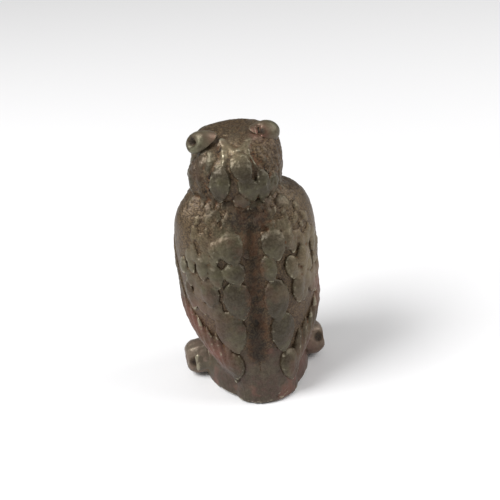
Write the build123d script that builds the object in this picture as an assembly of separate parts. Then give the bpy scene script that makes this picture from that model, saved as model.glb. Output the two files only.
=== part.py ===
"""Owl figurine: hollow bronze castings drawn together by one tie rod, perched on a branch over a low mound.

Millimetres. The owl faces -Y, +X is its left side, +Z is up, and the origin is under the middle of its box.
"""

from build123d import *
from math import cos, radians, sin
import os

# ---------------------------------------------------------------- driving dimensions
WALL = 2.0  # thickness of the cast shells
BACK_REACH = 16.1  # the tail's tip behind the origin, and the belly's crown ahead of it

LOG_RADIUS = 4.7
LOG_LENGTH = 37.6
LOG_AXIS_Y = -2.8
LOG_BORE = 2.9
LOG_END_THICKNESS = 1.2

TIE_ROD_RADIUS = 1.25
TIE_ROD_FOOT = (0.0, 5.4, 0.0)  # a point on the leaning rod's line, level with the ground
TIE_ROD_HEAD = (0.0, -1.1, 65.0)  # the rod's upper end, in the head's boss
TIE_ROD_BOTTOM = 3.0
BOSS_RADIUS = 3.0
NUT_FROM, NUT_TO = 4.0, 6.0  # heights along the rod's line
NUT_CORNER_RADIUS = 2.3
WASHER_RADIUS = 2.4
WASHER_TO = 6.5

POCKET_ROOF = 6.0
POCKET_FRONT = 2.4
SCREW_BOSS_RADIUS = 2.4
PLATE_THICKNESS = 1.3
PLATE_FRONT = 2.1
PLATE_CLEARANCE = 0.05

# Stations of the castings, each (height, half width, front, back).
TORSO = [
    (8.0, 10.4, -8.0, 9.4),
    (14.0, 12.6, -11.6, 11.2),
    (22.0, 14.9, -14.7, 12.2),
    (30.0, 16.1, -16.0, 12.3),
    (38.0, 16.5, -15.7, 11.4),
    (45.0, 15.9, -14.2, 9.8),
    (51.0, 13.7, -12.2, 7.7),
    (56.5, 9.4, -9.6, 5.2),
]
WINGS = [
    (4.0, 11.0, -8.0, 13.7),
    (10.0, 13.4, -9.5, 14.2),
    (17.0, 15.6, -12.0, 14.3),
    (25.0, 17.2, -14.4, 14.2),
    (32.0, 18.0, -15.2, 13.7),
    (38.5, 18.3, -15.0, 12.9),
    (44.0, 18.2, -14.0, 11.8),
    (49.5, 17.1, -12.6, 10.0),
    (53.5, 14.5, -11.2, 7.8),
    (56.0, 10.6, -9.8, 5.8),
]
HEAD = [
    (53.4, 10.0, -10.8, 6.3),
    (57.0, 10.8, -12.0, 7.4),
    (61.0, 11.4, -12.7, 7.7),
    (64.5, 11.4, -12.7, 6.6),
    (67.3, 10.6, -12.0, 4.6),
    (69.0, 9.2, -10.9, 2.2),
    (69.8, 7.0, -9.4, 0.0),
]
MOUND = [
    (0.0, 14.0, -20.0, 14.4),
    (4.0, 13.6, -19.6, 14.0),
    (8.0, 12.4, -18.2, 12.6),
    (11.0, 11.0, -16.6, 11.2),
]
TAIL = [
    (0.0, 13.6, -20.0, BACK_REACH),
    (6.0, 13.5, -20.0, 15.5),
    (12.0, 13.4, -19.5, 14.9),
    (18.0, 13.3, -19.0, 14.3),
    (24.0, 13.2, -18.5, 13.6),
]
TAIL_THICKNESS = 1.5
TAIL_TOP = 22.0
TAIL_HALF_WIDTH = 8.2

# The wing's edge seen from the side, each (along Y, height), from the shoulder down the front and up the back.
WING_FRONT_EDGE = [(-6.5, 53.0), (-10.0, 47.0), (-10.4, 38.0), (-8.0, 27.0), (-3.2, 16.0), (4.0, 8.5)]
WING_TIP = (10.5, 6.0)
BACK_GAP = 0.55  # half of the gap between the wings down the back
TIP_SPREAD = (2.2, 6.0)  # where the wings' inner edges end: off the middle, and up
GAP_OPENS_AT = 24.0

EYE_X, EYE_Z = 4.6, 63.6
EYE_RADIUS = 2.6
EYE_RIM_RADIUS = 3.5
EYE_SOCKET_Y = -11.6  # the flat floor of the eye's socket
EYE_TURN = 10.0  # degrees that each eye looks outwards

TUFT_CENTRE = (7.6, -1.4, 67.3)
TUFT_HALF_LENGTH, TUFT_RADIUS = 4.1, 2.9
TUFT_RISE = 14.0  # degrees

# Sections of the beak from its top to its tip, each (height, half width, middle along Y, half depth).
BEAK = [
    (61.6, 1.0, -11.8, 1.0),
    (60.0, 1.6, -12.4, 1.9),
    (58.2, 1.5, -12.8, 2.2),
    (56.6, 0.9, -13.1, 1.5),
    (55.6, 0.35, -13.2, 0.6),
]

LEG_X = 5.6
TOE_RADIUS = 1.25
TOE_SPREAD = 2.9
TOE_FROM, TOE_SWEEP = 100.0, 105.0  # degrees round the log, from behind its top to low on its front
CLAW_LENGTH = 2.6
ANKLE_RADIUS = 2.3
THIGH_RADIUS = 3.9
THIGH_CENTRE = (-8.6, 14.2)  # along Y, height

PIN_RADIUS = 0.8
SCREW_RADIUS = 0.9
SCREW_HEAD_RADIUS = 1.8
SCREW_RECESS = 0.2
SCREW_TOP = 5.0
SCREW_PLACES = [(-8.0, 4.6), (8.0, 4.6), (0.0, 10.3)]

SIDES = {"left": 1, "right": -1}


# ---------------------------------------------------------------- helpers
def envelope(stations, grow=0.0):
    """A smooth closed body through elliptical stations, grown or shrunk all round by `grow`."""
    rings = []
    for height, half_width, front, back in stations:
        middle, half_depth = (front + back) / 2, (back - front) / 2
        rings.append(Pos(0, middle, height) * Ellipse(half_width + grow, half_depth + grow))
    return loft(rings)


def at_height(stations, height):
    """The station at any height, in a straight line between its neighbours."""
    for low, high in zip(stations, stations[1:]):
        if low[0] <= height <= high[0]:
            share = (height - low[0]) / (high[0] - low[0])
            return (height, *(a + share * (b - a) for a, b in zip(low[1:], high[1:])))
    raise ValueError(f"no station reaches {height}")


def rod(radius, start, end):
    """A round bar from one point to another."""
    start, end = Vector(*start), Vector(*end)
    bar = Cylinder(radius, (end - start).length, align=(Align.CENTER, Align.CENTER, Align.MIN))
    return Plane(origin=start, z_dir=end - start) * bar


def side_prism(outline, side):
    """A prism across one half of the owl, of an outline given as (along Y, height)."""
    return extrude(make_face(outline), amount=30.0, dir=(side, 0, 0))


def save(node, shape):
    """Writes one node, as its closed solids alone."""
    solids = shape.solids()
    export_step(solids[0] if len(solids) == 1 else Compound(children=list(solids)), f"parts/{node}.step")


# ---------------------------------------------------------------- the branch
def log_axis_rod(radius, half_length):
    return rod(radius, (-half_length, LOG_AXIS_Y, LOG_RADIUS), (half_length, LOG_AXIS_Y, LOG_RADIUS))


log_outside = log_axis_rod(LOG_RADIUS, LOG_LENGTH / 2)


def make_log():
    """The branch is a stout tube between two end discs."""
    tube_half = LOG_LENGTH / 2 - LOG_END_THICKNESS
    return log_axis_rod(LOG_RADIUS, tube_half) - log_axis_rod(LOG_BORE, tube_half)


def make_log_end(side):
    """A sawn end disc with a spigot that plugs the tube."""
    disc_at = side * (LOG_LENGTH / 2 - LOG_END_THICKNESS)
    spigot_at = disc_at - side * 1.5
    disc = rod(LOG_RADIUS, (disc_at, LOG_AXIS_Y, LOG_RADIUS), (side * LOG_LENGTH / 2, LOG_AXIS_Y, LOG_RADIUS))
    edge = disc.edges().sort_by(Axis.X)[-1 if side > 0 else 0]
    disc = fillet(edge, LOG_END_THICKNESS * 0.7)
    return disc + rod(LOG_BORE, (spigot_at, LOG_AXIS_Y, LOG_RADIUS), (disc_at, LOG_AXIS_Y, LOG_RADIUS))


# ---------------------------------------------------------------- envelopes shared by several castings
torso_outside = envelope(TORSO)
wings_outside = envelope(WINGS)
head_outside = envelope(HEAD)
mound_outside = envelope(MOUND)
tail_outside = envelope(TAIL)
tail_inside = envelope(TAIL, -TAIL_THICKNESS)


def on_tie_rod(height):
    """The point of the leaning tie rod's axis at any height."""
    share = height / TIE_ROD_HEAD[2]
    return Vector(*TIE_ROD_FOOT) * (1 - share) + Vector(*TIE_ROD_HEAD) * share


def along_tie_rod(radius, bottom, top):
    return rod(radius, on_tie_rod(bottom), on_tie_rod(top))


tie_rod_line = along_tie_rod(TIE_ROD_RADIUS, 0.0, TIE_ROD_HEAD[2])


def make_tail():
    """The tail: a thin curved plate that widens to a round end on the ground."""
    half = TAIL_HALF_WIDTH
    outline = Polyline(
        (-half * 0.5, TAIL_TOP), (-half * 0.86, 12.0), (-half, 0.0), (half, 0.0), (half * 0.86, 12.0),
        (half * 0.5, TAIL_TOP), close=True,
    )
    fan = extrude(Plane.XZ * make_face(outline), amount=-30.0)
    return (tail_outside - tail_inside) & fan


tail = make_tail()


# ---------------------------------------------------------------- castings
def make_torso():
    """The body's shell: open below, with a closed neck that the tie rod goes through."""
    cavity_stations = [at_height(TORSO, 8.0), *TORSO[1:-1], at_height(TORSO, 54.5)]
    cavity = envelope(cavity_stations, -WALL)
    return torso_outside - cavity - log_outside - tail - tie_rod_line


def make_wing(side):
    """One wing: a shell over the body's flank and half of the back, with its tip beside the tail."""
    front = [Vector(0, y, z) for y, z in WING_FRONT_EDGE]
    tip = Vector(0, *WING_TIP)
    edge = Spline(*front, tip)
    back = Polyline(tip, Vector(0, 20, WING_TIP[1]), Vector(0, 20, 60), Vector(0, front[0].Y, 60), front[0])
    blank = wings_outside & side_prism(edge + back, side)
    spread, rise = TIP_SPREAD
    gap = Polyline(
        (0, 60), (BACK_GAP, 60), (BACK_GAP, GAP_OPENS_AT), (spread + BACK_GAP, rise), (spread + BACK_GAP, 0),
        (0, 0), close=True,
    )
    between = extrude(Plane.XZ * make_face(gap), amount=-30.0)
    if side < 0:
        between = mirror(between, about=Plane.YZ)
    return blank - between - torso_outside - head_outside - tail - mound_outside


def make_head():
    """The head's shell, set down over the shoulders, with a boss inside its crown for the tie rod."""
    cavity = envelope([*HEAD[:5], at_height(HEAD, 68.4)], -WALL)
    boss = along_tie_rod(BOSS_RADIUS, 58.5, 69.0)
    shell = (head_outside - torso_outside) - cavity
    return shell + (boss & head_outside) - tie_rod_line


def half_oval(half_width, half_depth, front, thickness):
    """A flat oval on the ground, cut straight across in front."""
    behind = Pos(0, front + half_depth, 0) * Box(4 * half_width, 2 * half_depth, 4 * thickness)
    return extrude(Ellipse(half_width, half_depth), amount=thickness) & behind


def plate_outline(clearance):
    """The closing plate's blank, let into the mound's underside."""
    half_width, back = MOUND[0][1], MOUND[0][3]
    front = PLATE_FRONT + clearance
    return half_oval(half_width - 1.4 - clearance, back - 1.9 - clearance, front, PLATE_THICKNESS)


def make_mound():
    """The low mound behind the branch, hollow below, which the tail lies over."""
    reach = 30.0
    behind_log_axis = Pos(0, LOG_AXIS_Y + reach / 2, 0) * Box(2 * reach, reach, reach)
    pocket = half_oval(MOUND[0][1] - 2 * WALL, MOUND[0][3] - 1.7 * WALL, POCKET_FRONT, POCKET_ROOF)
    for x, y in SCREW_PLACES:
        pocket -= rod(SCREW_BOSS_RADIUS, (x, y, 0), (x, y, POCKET_ROOF))
    mound = (mound_outside & behind_log_axis) - torso_outside - log_outside - tail
    mound -= pocket + plate_outline(0.0) + tie_rod_line
    mound -= along_tie_rod(WASHER_RADIUS, NUT_FROM, WASHER_TO)
    for x, y in SCREW_PLACES:
        mound -= rod(SCREW_RADIUS, (x, y, 0), (x, y, SCREW_TOP))
    return mound


def countersunk(x, y):
    """The solid of one countersunk screw, from its recessed face up."""
    cone_top = SCREW_RECESS + SCREW_HEAD_RADIUS - SCREW_RADIUS
    head = Pos(x, y, SCREW_RECESS) * Cone(
        SCREW_HEAD_RADIUS, SCREW_RADIUS, cone_top - SCREW_RECESS, align=(Align.CENTER, Align.CENTER, Align.MIN)
    )
    return head + rod(SCREW_RADIUS, (x, y, cone_top), (x, y, SCREW_TOP))


def make_base_plate():
    plate = plate_outline(PLATE_CLEARANCE)
    for x, y in SCREW_PLACES:
        plate -= countersunk(x, y) + rod(SCREW_HEAD_RADIUS, (x, y, 0), (x, y, SCREW_RECESS))
    return plate


def make_screws():
    """The plate's three slotted screws."""
    screws = []
    for x, y in SCREW_PLACES:
        slot = Pos(x, y, SCREW_RECESS) * Box(3 * SCREW_HEAD_RADIUS, 0.5, 0.6)
        screws.append(countersunk(x, y) - slot)
    return Compound(children=[s.solid() for s in screws])


# ---------------------------------------------------------------- the face
def eye_frame(side):
    """The plane of one eye: origin on the socket's floor, looking forwards and a little outwards."""
    turn = radians(EYE_TURN) * side
    looks = Vector(sin(turn), -cos(turn), 0.05)
    return Plane(origin=(side * EYE_X, EYE_SOCKET_Y, EYE_Z), z_dir=looks)


def socket(side):
    """All that an eye and its rim take out of the head."""
    depth = 6.0
    return eye_frame(side) * Cylinder(EYE_RIM_RADIUS, depth, align=(Align.CENTER, Align.CENTER, Align.MIN))


def make_eye(side):
    """A glass eye: a flat-backed bull's-eye lens."""
    ball_radius = EYE_RADIUS * 1.25
    body = Cylinder(EYE_RADIUS, 3.4, align=(Align.CENTER, Align.CENTER, Align.MIN))
    dome = Pos(0, 0, 2.4 - ball_radius) * Sphere(ball_radius)
    return eye_frame(side) * (body & dome)


def make_eye_rim(side):
    """The ring that holds the eye in its socket."""
    ring = Cylinder(EYE_RIM_RADIUS, 1.7, align=(Align.CENTER, Align.CENTER, Align.MIN))
    ring = fillet(ring.edges().filter_by(GeomType.CIRCLE).sort_by(Axis.Z)[-1], 0.6)
    ring -= Cylinder(EYE_RADIUS, 4.0, align=(Align.CENTER, Align.CENTER, Align.CENTER))
    return eye_frame(side) * ring


def make_beak():
    """A hooked beak that starts between the eyes and stands out of the face."""
    rings = [Pos(0, y, z) * Ellipse(half_width, half_depth) for z, half_width, y, half_depth in BEAK]
    return loft(rings) - head_outside


def make_tuft(side):
    """One ear tuft: a blunt stub that leans out of the crown's corner."""
    x, y, z = TUFT_CENTRE
    stub = Sphere(TUFT_RADIUS)
    length = Cylinder(TUFT_RADIUS, 2 * (TUFT_HALF_LENGTH - TUFT_RADIUS), rotation=(0, 90, 0))
    end = Pos(TUFT_HALF_LENGTH - TUFT_RADIUS, 0, 0) * stub
    tuft = length + end + Pos(-(TUFT_HALF_LENGTH - TUFT_RADIUS), 0, 0) * stub
    tuft = Pos(x, y, z) * Rot(0, -TUFT_RISE, 0) * tuft
    if side < 0:
        tuft = mirror(tuft, about=Plane.YZ)
    return tuft - head_outside


# ---------------------------------------------------------------- legs and feet
def make_thigh(side):
    """The feathered thigh: a rounded bulge of the belly over each foot."""
    y, z = THIGH_CENTRE
    end = Sphere(THIGH_RADIUS)
    half = 0.9 * THIGH_RADIUS
    bulge = Cylinder(THIGH_RADIUS, 2 * half) + Pos(0, 0, half) * end + Pos(0, 0, -half) * end
    bulge = Pos(side * LEG_X, y, z) * Rot(8, 0, 0) * bulge
    return bulge - torso_outside - log_outside - feet[side]


def make_toe(x):
    """A bent bar that starts behind the branch's top, turns forwards over it and ends in a claw."""
    ring_radius = LOG_RADIUS + 0.8 * TOE_RADIUS

    def at_turn(degrees):
        """The place on the ring, and the way forwards there."""
        turn = radians(degrees)
        place = Vector(x, LOG_AXIS_Y - ring_radius * cos(turn), LOG_RADIUS + ring_radius * sin(turn))
        return place, Vector(0, -sin(turn), -cos(turn))

    start, forwards = at_turn(TOE_FROM)
    section = Plane(origin=start, z_dir=forwards, x_dir=(1, 0, 0)) * Circle(TOE_RADIUS)
    bend = revolve(section, Axis((x, LOG_AXIS_Y, LOG_RADIUS), (1, 0, 0)), TOE_SWEEP)
    end, downwards = at_turn(TOE_FROM - TOE_SWEEP)
    claw = Cone(0.9 * TOE_RADIUS, 0.25, CLAW_LENGTH, align=(Align.CENTER, Align.CENTER, Align.MIN))
    return bend + Plane(origin=end, z_dir=downwards) * claw


def make_foot(side):
    """Three toes that grip the branch, and the ankle that they grow from."""
    x = side * LEG_X
    foot = rod(ANKLE_RADIUS, (x, LOG_AXIS_Y - 2.6, LOG_RADIUS + 3.6), (x, LOG_AXIS_Y - 4.2, 12.0))
    for step in (-1, 0, 1):
        foot += make_toe(x + step * TOE_SPREAD)
    return foot - log_outside - torso_outside


# ---------------------------------------------------------------- fixings
def make_tie_rod():
    """A long stud, screwed into the head's boss and drawn down by a nut inside the mound."""
    return along_tie_rod(TIE_ROD_RADIUS, TIE_ROD_BOTTOM, TIE_ROD_HEAD[2])


def make_rod_nut():
    base = on_tie_rod(NUT_FROM)
    up = on_tie_rod(NUT_TO) - base
    hexagon = Plane(origin=base, z_dir=up) * RegularPolygon(NUT_CORNER_RADIUS, 6)
    return extrude(hexagon, amount=up.length, dir=up) - tie_rod_line


def make_rod_washer():
    return along_tie_rod(WASHER_RADIUS, NUT_TO, WASHER_TO) - tie_rod_line


def make_wing_pins():
    """Two dowels through each flank of the body into the wing."""
    pins = []
    for side in SIDES.values():
        for height, y in ((45.0, -1.0), (27.0, 1.0)):
            outside = at_height(TORSO, height)[1]
            start = (side * (outside - WALL - 0.8), y, height)
            pins.append(rod(PIN_RADIUS, start, (side * (outside + 0.9), y, height)))
    return pins


def make_tail_pins():
    """Two dowels through the small of the back into the tail."""
    pins = []
    for height in (13.0, 18.5):
        outside = at_height(TORSO, height)[3]
        pins.append(rod(PIN_RADIUS, (0, outside - WALL - 0.8, height), (0, outside + 1.6, height)))
    return pins


# ---------------------------------------------------------------- build and write
os.makedirs("parts", exist_ok=True)

feet = {side: make_foot(side) for side in SIDES.values()}
wing_pins = make_wing_pins()
tail_pins = make_tail_pins()

torso = make_torso()
head = make_head()
for pin in wing_pins + tail_pins:
    torso -= pin
for pin in tail_pins:
    tail -= pin

save("body_shell", torso)
save("tail_fan", tail)
save("perch_log", make_log())
save("base_mound", make_mound())
save("base_plate", make_base_plate())
save("base_screws", make_screws())
save("tie_rod", make_tie_rod())
save("rod_nut", make_rod_nut())
save("rod_washer", make_rod_washer())
save("wing_pins", Compound(children=[p.solid() for p in wing_pins]))
save("tail_pins", Compound(children=[p.solid() for p in tail_pins]))
save("beak", make_beak())

for name, side in SIDES.items():
    head -= socket(side)
    wing = make_wing(side)
    for pin in wing_pins:
        wing -= pin
    save(f"{name}_wing", wing)
    save(f"{name}_ear_tuft", make_tuft(side))
    save(f"{name}_eye", make_eye(side))
    save(f"{name}_eye_rim", make_eye_rim(side))
    save(f"{name}_thigh", make_thigh(side))
    save(f"{name}_foot", feet[side])
    save(f"{name}_log_end", make_log_end(side))
save("head_shell", head)
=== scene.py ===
# %% [markdown]
# # A small cast-bronze owl
# The owl is a handful of hollow bronze castings, drawn together and patinated as one. It stands 70 mm
# tall on a short branch. This lesson starts from the plain castings of the CAD model, lays feathers
# over them with Geometry Nodes, fuses each casting into one soft, worn skin, and ages the metal.
# The owl faces -Y, its left side is +X, and up is +Z.

import math

import bmesh
import bpy
import numpy as np
from mathutils import Matrix, Vector
from mathutils.bvhtree import BVHTree


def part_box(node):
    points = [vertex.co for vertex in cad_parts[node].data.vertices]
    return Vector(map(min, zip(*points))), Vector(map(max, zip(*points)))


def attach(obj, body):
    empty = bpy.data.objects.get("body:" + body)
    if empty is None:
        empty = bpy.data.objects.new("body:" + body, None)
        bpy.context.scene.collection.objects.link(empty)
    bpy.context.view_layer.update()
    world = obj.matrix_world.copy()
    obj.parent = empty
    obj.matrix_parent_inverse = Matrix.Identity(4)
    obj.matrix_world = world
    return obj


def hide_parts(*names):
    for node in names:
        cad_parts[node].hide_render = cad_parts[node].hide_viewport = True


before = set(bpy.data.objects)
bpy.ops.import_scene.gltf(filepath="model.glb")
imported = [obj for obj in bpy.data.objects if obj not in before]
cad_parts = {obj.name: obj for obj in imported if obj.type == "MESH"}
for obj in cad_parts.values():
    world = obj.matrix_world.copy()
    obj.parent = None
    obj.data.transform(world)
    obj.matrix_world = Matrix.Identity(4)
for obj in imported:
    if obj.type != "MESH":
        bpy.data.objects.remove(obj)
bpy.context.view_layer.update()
MM = 0.001
UP = Vector((0, 0, 1))
LEFT, RIGHT = 1, -1  # The owl's own sides, as the sign of X.
SIDES = ((LEFT, "left"), (RIGHT, "right"))


# %% [markdown]
# ## The camera
# The owl is seen from behind and above, a little from its left. A small roll of the camera gives the
# owl its slight lean. The orientation is a matrix whose columns are the camera's right, up and
# backward directions, which is easier to trust than three angles.

# %% Camera
CAMERA_ELEVATION, CAMERA_BEARING, CAMERA_ROLL = (math.radians(a) for a in (33.3, 9.5, 5.3))
CAMERA_DISTANCE = 281.5 * MM
CAMERA_AIM = Vector((-1.1, -2.8, 35.4)) * MM

backward = Vector((
    math.sin(CAMERA_BEARING) * math.cos(CAMERA_ELEVATION),
    math.cos(CAMERA_BEARING) * math.cos(CAMERA_ELEVATION),
    math.sin(CAMERA_ELEVATION),
))
level_right = (-backward).cross(UP).normalized()
level_up = level_right.cross(-backward)
rolled_right = level_right * math.cos(CAMERA_ROLL) - level_up * math.sin(CAMERA_ROLL)
rolled_up = level_up * math.cos(CAMERA_ROLL) + level_right * math.sin(CAMERA_ROLL)

camera = bpy.data.objects.new("camera", bpy.data.cameras.new("camera"))
bpy.context.scene.collection.objects.link(camera)
camera.data.lens = 80
camera.data.clip_start = 0.01
camera.matrix_world = Matrix.Translation(CAMERA_AIM + backward * CAMERA_DISTANCE) @ Matrix((
    (rolled_right.x, rolled_up.x, backward.x, 0),
    (rolled_right.y, rolled_up.y, backward.y, 0),
    (rolled_right.z, rolled_up.z, backward.z, 0),
    (0, 0, 0, 1),
))
bpy.context.scene.camera = camera
print("camera at", [round(v / MM) for v in camera.location], "mm")


# %% [markdown]
# ## Plain meshes
# A finished piece sits at the origin, unturned and unscaled, with its place in its mesh. Modifiers
# are handy while a piece is made, but they must not be left on it, so `settle` evaluates them and
# keeps the resulting plain mesh.

# %% Making and settling meshes
def new_object(name, mesh):
    made = bpy.data.objects.new(name, mesh)
    bpy.context.scene.collection.objects.link(made)
    return made


def mesh_of(name, points, faces):
    mesh = bpy.data.meshes.new(name)
    mesh.from_pydata([tuple(p) for p in points], [], faces)
    mesh.update()
    return new_object(name, mesh)


def settle(made):
    """Applies every modifier of an object and leaves a plain mesh."""
    depsgraph = bpy.context.evaluated_depsgraph_get()
    mesh = bpy.data.meshes.new_from_object(made.evaluated_get(depsgraph))
    made.modifiers.clear()
    made.data = mesh
    return made


# %% [markdown]
# ## Outsides and fused skins
# Each CAD casting is a hollow shell, and feathers need only its outside. Every casting here is
# rounded outwards, so its convex hull is its outside without its hollow. `fuse` joins closed shapes
# that overlap and remeshes them on a fine grid. They become one skin, as poured metal would be,
# where a Boolean would leave a sharp seam.

# %% Hulls and fused skins
def hull_of(name, points):
    shape = bmesh.new()
    for p in points:
        shape.verts.new(p)
    found = bmesh.ops.convex_hull(shape, input=shape.verts)
    inner = [g for g in found["geom_interior"] if isinstance(g, bmesh.types.BMVert)]
    bmesh.ops.delete(shape, geom=inner, context="VERTS")
    bmesh.ops.recalc_face_normals(shape, faces=shape.faces)
    mesh = bpy.data.meshes.new(name)
    shape.to_mesh(mesh)
    shape.free()
    return new_object(name, mesh)


def fuse(name, shapes, grid, soften=0):
    """One closed skin round overlapping closed shapes, which are used up. The grid is in mm."""
    shape = bmesh.new()
    for s in shapes:
        shape.from_mesh(s.data)
    mesh = bpy.data.meshes.new(name)
    shape.to_mesh(mesh)
    shape.free()
    fused = new_object(name, mesh)
    remesh = fused.modifiers.new("skin", "REMESH")
    remesh.mode = "VOXEL"
    remesh.voxel_size = grid * MM
    if soften:
        smooth = fused.modifiers.new("soften", "SMOOTH")
        smooth.factor = 0.5
        smooth.iterations = soften
    settle(fused)
    for s in shapes:
        bpy.data.objects.remove(s)
    return fused


# %% [markdown]
# ## Shaping with arrays
# A mesh's points are read into one numpy array, moved all at once, and written back, which is far
# quicker than a loop over its points. A smoothed copy of a mesh is useful twice: to round places
# off, and later to tell what stands above its surroundings from what lies below them.

# %% Points, normals and blur
def points_of(made):
    """The mesh's points as an array, in metres."""
    points = np.empty(len(made.data.vertices) * 3)
    made.data.vertices.foreach_get("co", points)
    return points.reshape(-1, 3)


def move_points(made, points):
    made.data.vertices.foreach_set("co", np.asarray(points, float).ravel())
    made.data.update()
    return made


def smooth_step(value, low, high):
    """0 below low, 1 above high, and a smooth rise between them."""
    t = np.clip((value - low) / (high - low), 0, 1)
    return t * t * (3 - 2 * t)


def normals_of(made):
    normals = np.empty(len(made.data.vertices) * 3, np.float32)
    made.data.vertices.foreach_get("normal", normals)
    return normals.reshape(-1, 3).astype(float)


def blurred(made, passes):
    """The points of a smoothed copy."""
    copy = new_object("blur", made.data.copy())
    smooth = copy.modifiers.new("blur", "SMOOTH")
    smooth.factor, smooth.iterations = 0.5, passes
    settle(copy)
    points = points_of(copy)
    bpy.data.objects.remove(copy)
    return points


# %% [markdown]
# ## Pressing like a thumb
# The model of a small bronze is shaped in wax with thumbs and a blunt tool. `press` does the same:
# it pushes the surface in along its own normals, most on a path and softly less beside it. A
# negative depth raises a ridge instead. A path is a list of places that were found on a skin.

# %% Pressing grooves and ridges
def far_from(points, path):
    """How far each point is from a path of places found on a skin."""
    stops = [np.array(found[0], float) for found in path if found]
    nearest = np.full(len(points), np.inf)
    for a, b in zip(stops[:-1], stops[1:]):
        along = b - a
        share = np.clip(((points - a) @ along) / max(along @ along, 1e-12), 0, 1)
        nearest = np.minimum(nearest, np.linalg.norm(points - a - share[:, None] * along, axis=1))
    return nearest


def closeness(points, path, reach, power=2):
    """1 on a path, falling softly to 0. The reach is in mm, and a higher power gives a harder edge."""
    return np.exp(-((far_from(points, path) / (reach * MM)) ** power))


def press(made, path, width, depth):
    """Presses a soft groove along a path, or raises a ridge if the depth is negative. In mm."""
    points = points_of(made)
    push = depth * MM * closeness(points, path, width)
    return move_points(made, points - normals_of(made) * push[:, None])


def press_spot(made, centre, radius, depth):
    return press(made, (centre, centre), radius, depth)


# %% [markdown]
# ## One feather blank
# All feathers are one of three blanks: a leaf, a broad scale or a long quill. Each is flat, one unit
# long and one wide, and points along +Y. Its points carry four attributes. `rise` grows from the
# root to the tip, because the tip stands off the bird. `rim` is 1 on a thin line just inside the
# edge, where a caster's model has its raised outline. `swell` domes the middle. `under` marks the
# bottom, which goes below the skin, so that the feather is a closed solid.

# %% The feather blank
# Where the blank has points: across it, from edge to edge, and along it, from root to tip.
ACROSS = (-1.0, -0.86, -0.6, 0.0, 0.6, 0.86, 1.0)
ALONG = (0.0, 0.05, 0.16, 0.4, 0.62, 0.78, 0.9, 0.97, 1.0)
WIDEST = 0.4
RIM_FROM_EDGE, RIM_WIDTH = 0.2, 0.15


def half_width(t, blunt):
    """Half the leaf's width at t: a rounded root, and a pointed or blunt tip."""
    if t < WIDEST:
        return 0.5 * max(1 - ((WIDEST - t) / WIDEST) ** 2.2, 0.03) ** 0.5
    return 0.5 * max(1 - ((t - WIDEST) / (1 - WIDEST)) ** blunt, 0.02) ** 0.8


def feather_blank(name, blunt, root_rise):
    points, rise, rim, swell, under, faces = [], [], [], [], [], []
    columns = len(ACROSS)
    for bottom in (0, 1):
        for t in ALONG:
            for s in ACROSS:
                from_edge = (1 - abs(s)) * 2 * half_width(t, blunt)
                points.append((s * half_width(t, blunt), t, 0))
                rise.append(root_rise + (1 - root_rise) * t)
                on_rim = math.exp(-((from_edge - RIM_FROM_EDGE) / RIM_WIDTH) ** 2)
                rim.append(on_rim * smooth_step(t, 0.0, 0.6 - root_rise))
                swell.append((1 - s * s) * math.sin(math.pi * t**0.8))
                under.append(bottom)
    size = len(ALONG) * columns
    for i in range(len(ALONG) - 1):
        for j in range(columns - 1):
            a = i * columns + j
            top = (a, a + 1, a + columns + 1, a + columns)
            faces.append(top)
            faces.append(tuple(size + k for k in reversed(top)))
    border = list(range(columns))
    border += [i * columns + columns - 1 for i in range(1, len(ALONG))]
    border += [(len(ALONG) - 1) * columns + j for j in reversed(range(columns - 1))]
    border += [i * columns for i in reversed(range(1, len(ALONG) - 1))]
    for a, b in zip(border, border[1:] + border[:1]):
        faces.append((b, a, size + a, size + b))
    blank = mesh_of(name, points, faces)
    for title, values in (("rise", rise), ("rim", rim), ("swell", swell), ("under", under)):
        blank.data.attributes.new(title, "FLOAT", "POINT").data.foreach_set("value", values)
    blank.hide_render = True
    blank.hide_viewport = True
    return blank


LEAF = feather_blank("leaf_blank", blunt=2.0, root_rise=0.45)
SCALE = feather_blank("scale_blank", blunt=2.6, root_rise=0.1)
QUILL = feather_blank("quill_blank", blunt=4.0, root_rise=0.0)
print("a feather has", len(LEAF.data.polygons), "faces")


# %% [markdown]
# ## Building node trees
# Node trees are built in code with a few short helpers: one adds a node, one adds a named input to
# the tree, one reads an attribute that the mesh carries, and one does sums.

# %% Helpers for node trees
def add_node(tree, kind, **settings):
    node = tree.nodes.new(kind)
    for key, value in settings.items():
        setattr(node, key, value)
    return node


def group_input(tree, name, kind, default=None):
    socket = tree.interface.new_socket(name, in_out="INPUT", socket_type=kind)
    if default is not None:
        socket.default_value = default
    return socket


def attribute_node(tree, name, kind="FLOAT"):
    node = add_node(tree, "GeometryNodeInputNamedAttribute", data_type=kind)
    node.inputs["Name"].default_value = name
    return node.outputs["Attribute"]


def maths(tree, operation, a, b=None, c=None):
    node = add_node(tree, "ShaderNodeMath", operation=operation)
    for socket, value in zip(node.inputs, (a, b, c)):
        if isinstance(value, (int, float)):
            socket.default_value = value
        elif value is not None:
            tree.links.new(value, socket)
    return node.outputs[0]
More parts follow.
